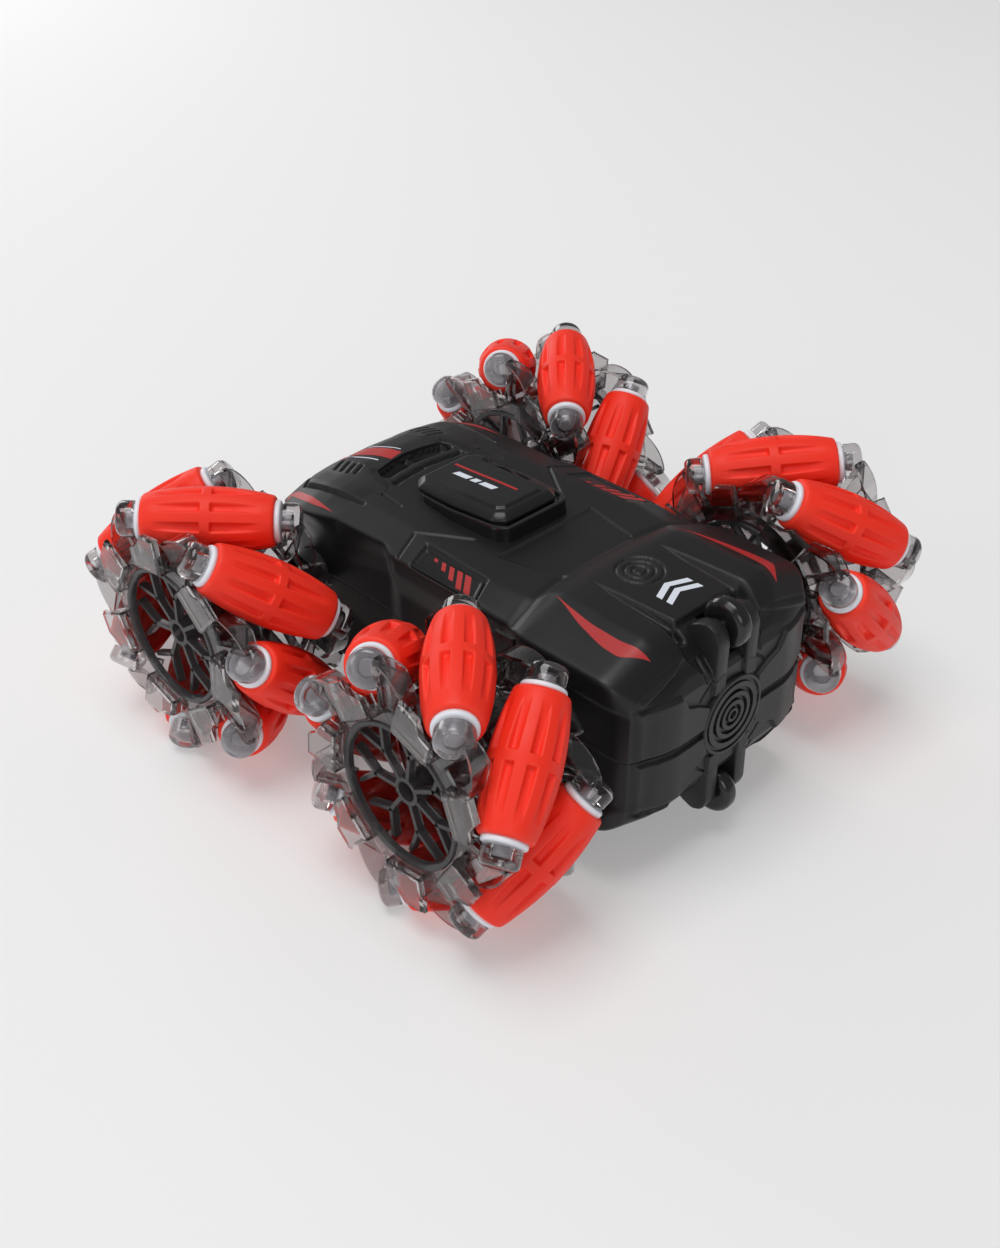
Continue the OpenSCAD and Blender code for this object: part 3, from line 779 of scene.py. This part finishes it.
def shell_skin(name, top):
    """One shell half as a closed skin: sides and deck, rear face, nose face and parting face."""
    xs, yh = section_curves()
    y, h = yh[..., 0], yh[..., 1]
    x = np.repeat(xs[:, None], AROUND, 1)
    # outward normals across the section
    ty, th = np.gradient(y, axis=1), np.gradient(h, axis=1)
    size = np.hypot(ty, th) + 1e-9
    ny, nh = th / size, -ty / size
    flip = np.sign((ny * y + nh * h).sum())
    ny, nh = ny * flip, nh * flip
    # details only where the skin faces up
    up = soft_step((nh - 0.55) / 0.3)
    add_h = (top_detail if top else belly_detail)(x, y) * up
    y2, h2 = y + ny * add_h * 0.15, h + nh * add_h
    # rear face: rings that shrink to the middle, bulged in plan
    shrink = np.linspace(0, 1, REAR_RINGS + 1)[1:-1]
    rear_y = [y2[0] * (1 - s) for s in shrink]
    rear_h = [h2[0] * (1 - s) for s in shrink]
    rear_x = []
    for s, ry, rh in zip(shrink, rear_y, rear_h):
        plan = REAR_BULGE * soft_step((45 - np.abs(ry)) / 20)
        edge = soft_step(s * 34 / 2.2)
        lean = 1 - 0.85 * np.clip((rh - 19) / 10, 0, 1)
        bulge = (plan * soft_step(s * 5) + 1.2 * edge) * lean
        rear_x.append(REAR_X - (bulge + rear_detail(ry, rh) * edge))
    # nose face
    nose = np.linspace(0, 1, NOSE_RINGS + 1)[1:-1]
    nose_y = [y2[-1] * (1 - n) for n in nose]
    nose_h = [h2[-1] * (1 - n) for n in nose]
    nose_x = [NOSE_X + 0.3 * min(1, n * 6) + nose_detail(ny, nh) * min(1, n * 9)
              for n, ny, nh in zip(nose, nose_y, nose_h)]
    sx = np.array(rear_x[::-1] + list(x) + nose_x)
    sy = np.array(rear_y[::-1] + list(y2) + nose_y)
    sh = np.array(rear_h[::-1] + list(h2) + nose_h)
    sh[:, 0] = 0
    sh[:, -1] = 0
    sh = np.maximum(sh, 0)
    sign = 1 if top else -1
    rows = len(sx)
    verts = np.stack([sx, sy, PARTING + sign * (sh + PARTING_GAP)], -1).reshape(-1, 3)
    faces = grid_faces(rows, AROUND)
    # closing fans at the two middles, and the parting face
    first, last = len(verts), len(verts) + 1
    level = PARTING + sign * PARTING_GAP
    extra = [(sx[0].mean(), 0, level), (sx[-1].mean(), 0, level)]
    faces += [(j + 1, j, first) for j in range(AROUND - 1)]
    base = (rows - 1) * AROUND
    faces += [(base + j, base + j + 1, last) for j in range(AROUND - 1)]
    left = [i * AROUND for i in range(rows)]
    right = [i * AROUND + AROUND - 1 for i in range(rows)]
    for i in range(rows - 1):
        faces.append((left[i], left[i + 1], right[i + 1], right[i]))
    faces.append((left[0], right[0], first))
    faces.append((right[-1], left[-1], last))
    verts = np.concatenate([verts, extra]) * MM
    obj = mesh_object(name, verts, faces, MATS["body"])
    # the parting face is flat, so its edge has to stay sharp
    for p in obj.data.polygons:
        if abs(p.normal.z) > 0.999 and abs(p.center.z - level * MM) < 1e-5:
            p.use_smooth = False
    return obj


def belly_detail(x, y):
    """Height added on the belly: the door's outline, and two long grooves on each side."""
    door = [(-31.6, -20.6), (31.6, -20.6), (31.6, 20.6), (-31.6, 20.6), (-31.6, -20.6)]
    d = groove(x, y, door, 0.35, 0.8, 0.3)
    d += groove(x, np.abs(y), [(-84, 12), (-50, 26)], 0.8, 0.9, 0.5)
    d += groove(x, np.abs(y), [(44, 26), (66, 16)], 0.8, 0.9, 0.5)
    return d


def cut(skin, corners, faces):
    """Cuts a closed shape, in mm, out of a skin."""
    cutter = mesh_object("cutter", np.array(corners) * MM, faces, MATS["body"], False)
    mod = skin.modifiers.new("slot", "BOOLEAN")
    mod.operation = "DIFFERENCE"
    mod.solver = "MANIFOLD"
    mod.object = cutter
    graph = bpy.context.evaluated_depsgraph_get()
    shape = bpy.data.meshes.new_from_object(skin.evaluated_get(graph))
    skin.modifiers.clear()
    skin.data = shape
    bpy.data.objects.remove(cutter)


def cut_box(skin, low, high):
    """Cuts a straight-sided slot into a skin."""
    xs, ys, zs = zip(low, high)
    cut(skin, [(x, y, z) for x in xs for y in ys for z in zs],
        [(0, 1, 3, 2), (4, 6, 7, 5), (0, 4, 5, 1), (2, 3, 7, 6), (0, 2, 6, 4), (1, 5, 7, 3)])


def cut_rod(skin, x, z, radius, reach, steps=64):
    """Cuts a round hole along Y right through a skin."""
    ring = [(x + s, z + c) for c, s in circle(radius, steps)]
    corners = [(a, y, b) for y in (-reach, reach) for a, b in ring]
    faces = [(k, (k + 1) % steps, steps + (k + 1) % steps, steps + k) for k in range(steps)]
    cut(skin, corners, faces + [tuple(range(steps)), tuple(range(steps, 2 * steps))])


# Openings in the skins, each by its lowest and highest corner, and round holes for the snouts
TOP_CASTER_SLOT = ((-115, -4.5, 72.5), (-89.2, 4.5, 110))
LOW_CASTER_SLOT = ((-115, -4.5, -10), (-89.7, 4.5, 27))
SWITCH_SLOT = ((-43.6, -1.8, 0), (-33.4, 1.8, 30))
SWITCH_POCKET = ((-45.8, -4, 20.3), (-31.2, 4, 30))
SNOUT_HOLE_R = 7.9
top_skin = shell_skin("top_skin", True)
low_skin = shell_skin("bottom_skin", False)
cut_box(top_skin, *TOP_CASTER_SLOT)
for box in (LOW_CASTER_SLOT, SWITCH_SLOT, SWITCH_POCKET):
    cut_box(low_skin, *box)
for corner in ("fl", "rl"):
    axle_x, _, axle_z = (v / MM for v in joints["wheel_spin_" + corner]["pos_m"])
    for skin in (top_skin, low_skin):
        cut_rod(skin, axle_x, axle_z, SNOUT_HOLE_R, 60)


def shown(piece, slot, *stands_for):
    """Rides a chassis piece on the chassis and hides the CAD parts that it stands for."""
    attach(piece, "chassis")
    if stands_for:
        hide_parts(*stands_for)
    return piece


shown(top_skin, "body_plastic", "top_shell")
shown(low_skin, "body_plastic", "bottom_shell")


ABOVE_ALL = 120.0  # mm above the floor


def surface(piece):
    """A ray caster down on a piece: its height at a place, both in mm."""
    tree = BVHTree.FromObject(piece, bpy.context.evaluated_depsgraph_get())

    def height(x, y):
        hit = tree.ray_cast(Vector((x, y, ABOVE_ALL)) * MM, Vector((0, 0, -1)))[0]
        return hit.z / MM if hit else PARTING

    return height


skin_z = surface(top_skin)

# ------------ rear casters' ears and badge

EAR = [(-90, 82.6), (-94, 85.4), (-98.5, 86.9), (-102.2, 85.2), (-103.9, 81.5), (-103.7, 67),
       (-101, 63.5), (-96, 66), (-90, 76)]


def round_loop(points, step, radius):
    """A closed outline resampled evenly, with its corners rounded."""
    pts = np.array(points + points[:1], float)
    t = lengths(pts)
    n = max(12, int(t[-1] / step))
    line = places(pts, t, np.linspace(0, t[-1], n + 1)[:-1])
    half = int(3 * radius / step) + 1
    w = np.exp(-0.5 * (np.arange(-half, half + 1) * step / radius) ** 2)
    w /= w.sum()
    return sum(weight * np.roll(line, k, 0) for k, weight in zip(range(-half, half + 1), w))


def loop_normals(loop):
    """Outward normals of a closed outline."""
    d = np.roll(loop, -1, 0) - np.roll(loop, 1, 0)
    n = np.stack([d[:, 1], -d[:, 0]], 1) / np.hypot(*d.T)[:, None]
    x, y = loop.T
    area = 0.5 * np.sum(x * np.roll(y, -1) - np.roll(x, -1) * y)
    return n if area > 0 else -n


def lofted(name, loops, mat, sharp=35):
    """A closed solid through rings of points, closed by a fan at each end."""
    n = len(loops[0])
    verts = [p for loop in loops for p in loop]
    ends = [np.mean(loops[0], 0), np.mean(loops[-1], 0)]
    faces = grid_faces(len(loops), n, True)
    base = (len(loops) - 1) * n
    faces += [((k + 1) % n, k, len(verts)) for k in range(n)]
    faces += [(base + k, base + (k + 1) % n, len(verts) + 1) for k in range(n)]
    obj = mesh_object(name, np.array(verts + ends) * MM, faces, mat)
    obj.data.set_sharp_from_angle(angle=math.radians(sharp))
    return obj


def make_ears():
    """Two rounded cheeks beside each caster."""
    profile = round_loop(EAR, 0.5, 0.9)
    normal = loop_normals(profile)
    for up, node in ((1, "top_shell"), (-1, "bottom_shell")):
        for side, tag in ((1, "left"), (-1, "right")):
            loops = []
            for y, inset in ((4.7, 0.5), (4.9, 0.15), (5.2, 0), (9.4, 0), (9.9, 0.2), (10.2, 0.7)):
                ring = profile - normal * inset
                z = ring[:, 1] if up > 0 else 2 * PARTING - ring[:, 1]
                loops.append(np.stack([ring[:, 0], np.full(len(ring), side * y), z], 1))
            ear = lofted(f"caster_ear_{'top' if up > 0 else 'bottom'}_{tag}", loops, MATS["body"])
            shown(ear, "body_plastic", node)


def make_badge():
    """The round boss in the middle of the rear face, with plain turned grooves."""
    face, back, rim = -104.2, -100.5, 14.4
    edge, dimple = 0.22, 1.3
    profile = [(0.01, face + 0.9), (dimple, face + 0.9), (dimple + edge, face)]
    for mid, half, deep in ((3.2, 0.5, 1.0), (6.2, 0.55, 1.0), (9.3, 0.6, 1.1), (12.6, 0.4, 0.6)):
        profile += [(mid - half - edge, face), (mid - half, face + deep), (mid + half, face + deep),
                    (mid + half + edge, face)]
    profile += [(rim - 0.5, face), (rim - 0.15, face + 0.15), (rim, face + 0.5), (rim, back)]
    steps = 120
    turn = 2 * np.pi * np.arange(steps) / steps
    loops = [np.stack([np.full(steps, x), r * np.cos(turn), PARTING + r * np.sin(turn)], 1)
             for r, x in profile]
    shown(lofted("rear_badge", loops, MATS["body"], 28), "body_plastic", "top_shell")


make_ears()
make_badge()

# ------------ hood, roof and side pieces

HOOD_LIFT = 0.6
# Half the hood seen from above: x, then the nearest and the farthest distance from the middle
HOOD_INNER = [(36.9, 19.4), (37.6, 17.9), (38.8, 17.2), (44.6, 16.8), (48.6, 15.4), (50.4, 7),
              (51, 0)]
HOOD_OUTER = [(36.9, 30.9), (52.6, 32.5), (65.6, 33.4), (67.4, 31.6), (69.8, 28.2), (71.6, 18),
              (72.2, 9)]
HOOD_CLOSED = HOOD_INNER[-1][0]  # the scoop's edge reaches the middle here
VENTS = [[(65.8, 16.4), (62.9, 23.0)], [(62.2, 16.5), (59.6, 22.7)], [(58.8, 16.4), (56.4, 22.4)],
         [(55.6, 16), (53.4, 21.6)]]


def plain_top():
    """The skin's height without its details, looked up from the smoothed sections."""
    xs, curves = section_curves()
    across = np.linspace(-46, 46, 185)
    table = []
    for row in curves:
        crest = row[row[:, 1] > 0.62 * row[:, 1].max()]
        crest = crest[np.argsort(crest[:, 0])]
        table.append(np.interp(across, crest[:, 0], crest[:, 1]))
    table = np.array(table)

    def height(x, y):
        i = np.clip((x - xs[0]) / X_STEP, 0, len(xs) - 1.001)
        j = np.clip((y - across[0]) / (across[1] - across[0]), 0, len(across) - 1.001)
        i0, j0 = np.floor(i).astype(int), np.floor(j).astype(int)
        fi, fj = i - i0, j - j0
        low = table[i0, j0] * (1 - fj) + table[i0, j0 + 1] * fj
        high = table[i0 + 1, j0] * (1 - fj) + table[i0 + 1, j0 + 1] * fj
        return PARTING + low * (1 - fi) + high * fi

    return height


plain_z = plain_top()


def hood_height(x, y):
    """Top of the hood panel: the skin with a lift, its creases and its vents."""
    a = np.abs(y)
    out = np.interp(x, *zip(*HOOD_OUTER)) - a
    near = a - np.where(x < HOOD_CLOSED, np.interp(x, *zip(*HOOD_INNER)), NOWHERE)
    rim = np.minimum(np.minimum(out, near), 72.3 - x)
    lift = HOOD_LIFT * soft_step((x - 37) / 9)
    z = plain_z(x, y) + lift - 0.4 * (1 - soft_step(rim / 0.6 + 0.1)) * soft_step((x - 37) / 4)
    for vent in VENTS:
        z += groove(x, a, vent, 0.5, 0.75, 0.5)
    crease = np.interp(x, (46, 68), (17.4, 12.2))
    fade = soft_step((rim - 0.5) / 3) * soft_step((26 - a) / 6)
    return z + 0.35 * soft_step((a - crease) / 1.1 + 0.5) * fade


def make_hood():
    """The hood panel as one closed sheet, made as a half and its mirror image."""
    xs = np.concatenate([[36.9, 37.1, 37.4, 37.9], np.arange(38.4, 50.2, 0.5), [50.4, 50.7, 51.0],
                         np.arange(51.4, 71.5, 0.45), [71.7, 71.95, 72.1, 72.2]])
    v = np.concatenate([[0, 0.006, 0.014, 0.026, 0.045], np.linspace(0.07, 0.93, 64),
                        [0.955, 0.974, 0.986, 0.994, 1]])
    near = np.where(xs < HOOD_CLOSED, np.interp(xs, *zip(*HOOD_INNER)), 0)
    far = np.interp(xs, *zip(*HOOD_OUTER))
    y = near[:, None] + (far - near)[:, None] * v
    x = np.repeat(xs[:, None], len(v), 1)
    z = hood_height(x, y)
    low = z - 1.4
    rows, cols = x.shape
    half = rows * cols
    verts, faces = [], []
    for side in (1, -1):
        base = len(verts)
        verts += list(np.stack([x, side * y, z], -1).reshape(-1, 3))
        verts += list(np.stack([x, side * y, low], -1).reshape(-1, 3))
        for i in range(rows - 1):
            for j in range(cols - 1):
                a = base + i * cols + j
                faces.append((a, a + 1, a + cols + 1, a + cols))
                faces.append((half + a, half + a + cols, half + a + cols + 1, half + a + 1))
            for j in (0, cols - 1):
                if j == 0 and near[i] == 0 and near[i + 1] == 0:
                    continue
                a = base + i * cols + j
                faces.append((a, a + cols, half + a + cols, half + a))
        for i in (0, rows - 1):
            for j in range(cols - 1):
                a = base + i * cols + j
                faces.append((a, a + 1, half + a + 1, half + a))
    hood = mesh_object("hood_skin", np.array(verts) * MM, faces, MATS["body"])
    bm = bmesh.new()
    bm.from_mesh(hood.data)
    bmesh.ops.remove_doubles(bm, verts=bm.verts, dist=2e-6)
    bmesh.ops.recalc_face_normals(bm, faces=bm.faces)
    bm.to_mesh(hood.data)
    bm.free()
    hood.data.set_sharp_from_angle(angle=math.radians(50))
    shown(hood, "trim_plastic", "hood_panel")


def capped(name, outline, radius, rim, top, foot, mat, rings=46):
    """A cap over a rounded outline. rim lists (inset, drop) at the edge, top(x, y, edge) gives the
    heights inside it, and foot is the height of the bottom face."""
    loop = round_loop(outline, 0.6, radius)
    normal = loop_normals(loop)
    mid = loop.mean(0)
    last = rim[-1][0]
    inner = loop - normal * last
    loops = []
    for s in np.linspace(0.02, 1, rings):
        ring = mid + (inner - mid) * s
        edge = last + inside(ring[:, 0], ring[:, 1], [tuple(p) for p in inner])
        loops.append(np.stack([*ring.T, top(ring[:, 0], ring[:, 1], edge)], 1))
    base = loops[-1][:, 2]
    for inset, drop in rim[-2::-1]:
        ring = loop - normal * inset
        loops.append(np.stack([*ring.T, base - drop], 1))
    for s in (1, 0.6, 0.2):
        ring = mid + (loop - normal * rim[0][0] - mid) * s
        loops.append(np.stack([*ring.T, np.full(len(ring), foot)], 1))
    return lofted(name, loops, mat, 40)


ROOF_FALL = 0.06
ROOF_REAR = -13.0


def roof_level(x):
    """The roof stack falls slightly towards the front."""
    return -ROOF_FALL * (x - ROOF_REAR)


def both_sides(half):
    """A closed outline from the half of it on the right side."""
    return half + [(x, -y) for x, y in half[::-1]]


TRAY = both_sides([(-16.8, -13.6), (-12.6, -16.6), (8, -18.2), (23, -17), (28, -13)])
POD = both_sides([(-13.6, -11.6), (-9.6, -14.8), (12, -16.2), (26.6, -15.8), (31.4, -11.4)])
POD_PLATEAU = both_sides([(-9.2, -8.2), (-7.2, -10.8), (40, -12)])
POD_CHANNEL = [(0, -12.8), (22, -13.2), (23.5, -11), (-1, -10.4)]
TRAY_TOP, TRAY_FOOT = 87.1, 78.5
POD_TOP, POD_FOOT = 90.4, 84.4


def tray_height(x, y, edge):
    return TRAY_TOP + roof_level(x) - 1.5 * soft_step((edge - 1.5) / 0.5)


def pod_height(x, y, edge):
    ramp = soft_step((24 - x) / 22)
    z = POD_TOP + roof_level(x) - 0.5 * ramp + 0.9 * ramp * pad(x, y, POD_PLATEAU, 1, 1.3)
    return z + pad(x, y, POD_CHANNEL, -1.4, 0.6)


def make_roof():
    tray = capped("tray_skin", TRAY, 1.2, [(-0.5, 6), (0, 2), (0, 0.5), (0.15, 0.15), (0.5, 0)],
                  tray_height, TRAY_FOOT, MATS["gloss"])
    shown(tray, "trim_plastic", "roof_tray")
    pod = capped("pod_skin", POD, 1.1, [(1.3, 5.4), (0.25, 3.4), (0.0, 3.0), (0.0, 2.2), (0.3, 1.7),
                                        (2.2, 0.25), (2.7, 0.05), (3.1, 0)],
                 pod_height, POD_FOOT, MATS["trim"], 60)
    shown(pod, "trim_plastic", "roof_block")


# The left side panel, and prints on the left side: two rails, and the points along and across them
PANEL = [(1.6, 34.4), (-27.2, 35.4), (-31, 43.8), (-0.8, 43.8)]
PANEL_RISE, PANEL_FOOT = 0.55, 76
SIDE_PRINTS = (
    ([(-52.6, 28.9), (-67.4, 34.3), (-79.1, 37.1), (-87.4, 37.6), (-94.1, 30.8)],
     [(-52.6, 28.9), (-59.4, 30.6), (-71, 32.3), (-83.7, 32.6), (-94.1, 30.8)], 60, 9),
    ([(43.5, 40.6), (56.9, 38.4), (66, 37.6), (70.2, 38.4)],
     [(43.5, 40.6), (54.9, 41.3), (64, 40.7), (69.2, 39.6)], 40, 9),
    ([(67.4, 40.2), (65.8, 43.4)], [(69.4, 39.2), (66.2, 43.5)], 10, 5),
)


def on_side(points, side):
    """Points of the left side, or their mirror image for the side -1."""
    return [(x, side * y) for x, y in points]


def make_side_panels():
    """A sunk panel with a raised rim in each side recess."""
    ground = np.vectorize(skin_z)

    def top(x, y, edge):
        return ground(x, y) + PANEL_RISE - 0.35 * soft_step((edge - 0.9) / 0.4)

    for side, tag in ((1, "left"), (-1, "right")):
        panel = capped("side_panel_" + tag, on_side(PANEL, side), 0.5,
                       [(0, 1.1), (0, 0.25), (0.1, 0.06), (0.3, 0)], top, PANEL_FOOT,
                       MATS["trim"], 30)
        shown(panel, "body_plastic", "side_panels")


make_hood()
make_roof()
make_side_panels()

# ------------ printed marks


def on_line(points, n):
    """n points evenly spaced along an open line."""
    pts = np.array(points, float)
    t = lengths(pts)
    line = places(pts, t, np.linspace(0, t[-1], n))
    return smooth_rows(line, n / 30) if len(points) > 2 else line


PRINTS = {}


def printed(key, rail_a, rail_b, heights, lift=0.07, n=40, m=9):
    """A thin printed patch between two rails, laid on the highest of some surfaces."""
    a, b = on_line(rail_a, n), on_line(rail_b, n)
    build = PRINTS.setdefault(key, Build())
    top, low = [], []
    for k in range(n):
        row = [a[k] + (b[k] - a[k]) * f for f in np.linspace(0, 1, m)]
        zs = [max(h(x, y) for h in heights) for x, y in row]
        top.append([(x, y, z + lift) for (x, y), z in zip(row, zs)])
        low.append([(x, y, z - 0.25) for (x, y), z in zip(row, zs)])
    build.sheet(top, low)


def printed_line(key, points, half, heights, **more):
    """A printed line of even width."""
    pts = np.array(points, float)
    d = np.gradient(pts, axis=0)
    n = np.stack([-d[:, 1], d[:, 0]], 1) / np.hypot(*d.T)[:, None] * half
    printed(key, [tuple(p) for p in pts + n], [tuple(p) for p in pts - n], heights, m=3, **more)


def make_prints():
    hood_z = surface(bpy.data.objects["hood_skin"])
    pod_z = surface(bpy.data.objects["pod_skin"])
    body = [skin_z]
    hood = [skin_z, hood_z]
    for s, tag in ((1, "left"), (-1, "right")):
        # crescents on the rear fenders, points on the front ones, bars in the side panels
        for rail_a, rail_b, n, m in SIDE_PRINTS:
            printed("decal_red", on_side(rail_a, s), on_side(rail_b, s), body, n=n, m=m)
        panel = [skin_z, surface(bpy.data.objects["side_panel_" + tag])]
        for k in range(5):
            x0, wide, y1 = -4.4 - 3.7 * k, 1.6 + 0.3 * k, min(37.6 + 1.7 * k, 42.9)
            x1 = x0 - 0.85 * (y1 - 36.4)
            printed("decal_red", [(x0, s * 36.4), (x1, s * y1)],
                    [(x0 - wide, s * 36.4), (x1 - wide, s * y1)], panel, n=10, m=4)
    printed("decal_red", [(52.3, 0.3), (61.7, 1.8), (69.4, 4.8)],
            [(51.3, 6.4), (59.9, 8.3), (68.6, 11.6)], hood)
    printed("decal_red", [(70.2, 15), (68.1, 15.8)], [(69.2, 12.9), (66.7, 13.8)], hood, n=10)
    printed_line("decal_white", [(68.6, 13.4), (61.9, 11.4), (54.4, 9.9)], 0.3, hood)
    printed_line("decal_white", [(67.8, 3.0), (62, 0.9), (54.4, -1.0)], 0.25, hood)
    pod = [pod_z]
    printed_line("decal_red", [(27, -2.6), (10, -2.6), (-4, -2.6)], 0.55, pod)
    # plain bars and chevrons instead of the lettering
    for x0, x1 in ((21.5, 14.5), (13, 10), (8.5, 2)):
        printed("decal_white", [(x0, 0.6), (x1, 0.6)], [(x0 + 1, 3.0), (x1 + 1, 3.0)], pod,
                n=8, m=4)
    for x0 in (-72.6, -76.8):
        for s in (1, -1):
            printed("decal_white", [(x0, 0), (x0 - 3.2, s * 7.6)],
                    [(x0 - 2.4, 0), (x0 - 5.6, s * 7.6)], body, n=12, m=4)
    for key, build in PRINTS.items():
        mat = MATS["red" if key == "decal_red" else "white"]
        obj = mesh_object(key + "_prints", np.array(build.verts) * MM, build.faces, mat)
        obj.data.set_sharp_from_angle(angle=math.radians(40))
        shown(obj, key)


make_prints()

# ------------ CAD nodes' finishes

for corner in CORNERS:
    dress("axle_" + corner, MATS["steel"])
    dress("wheel_screw_" + corner, MATS["screw"])
for node, finish in {"caster_top": "gloss", "caster_bottom": "gloss", "caster_axles": "steel",
                     "motors": "can", "battery": "cell", "battery_door": "trim",
                     "circuit_board": "board", "power_switch": "switch",
                     "shell_screws": "screw"}.items():
    dress(node, MATS[finish])
dress("gearboxes", MATS["gearbox"], 0.3)

# ------------ stage, lights, camera


def stage_floor():
    """A light square floor, 8 m wide, that glows a little like a lit paper sweep."""
    mesh = bpy.data.meshes.new("floor")
    size = 4.0
    mesh.from_pydata([(-size, -size, 0), (size, -size, 0), (size, size, 0), (-size, size, 0)], [],
                     [(0, 1, 2, 3)])
    floor = new_object("floor", mesh)
    mat = new_material("floor_paper", (0.62, 0.62, 0.62), 0.9)
    shader(mat).inputs["Emission Color"].default_value = (1, 1, 1, 1)
    shader(mat).inputs["Emission Strength"].default_value = 0.26
    mesh.materials.append(mat)


def point_at(obj, at, aim):
    """Places a light or a camera and turns it towards a point."""
    obj.location = at
    obj.rotation_euler = (Vector(aim) - Vector(at)).to_track_quat("-Z", "Y").to_euler()


def area_light(name, at, aim, size, power):
    light = bpy.data.lights.new(name, "AREA")
    light.shape = "RECTANGLE"
    light.size, light.size_y = size
    light.energy = power
    point_at(new_object(name, light), at, aim)


def lights():
    world = bpy.data.worlds.new("studio")
    world.use_nodes = True
    world.node_tree.nodes["Background"].inputs["Color"].default_value = (1, 1, 1, 1)
    world.node_tree.nodes["Background"].inputs["Strength"].default_value = 0.25
    bpy.context.scene.world = world
    area_light("key", (0.2, 0.55, 3.2), (0.15, 0, 0), (2.0, 2.0), 58)
    area_light("fill", (-1.2, 1.1, 0.8), (0, 0, 0.05), (0.9, 0.7), 5)
    area_light("rim", (0.3, 1.5, 0.9), (0, 0, 0.05), (0.8, 0.5), 3)
    area_light("back", (1.5, -0.2, 0.55), (0, 0, 0.06), (0.9, 0.5), 5)


def camera():
    """The photo's view, from behind and above on the left."""
    data = bpy.data.cameras.new("view")
    data.lens = 47.13
    data.sensor_width = 36
    obj = new_object("view", data)
    point_at(obj, (-0.34526, 0.34170, 0.37092), (-0.015795, 0.017363, 0.05))
    bpy.context.scene.camera = obj


stage_floor()
lights()
camera()
bpy.context.scene.view_settings.view_transform = "Standard"
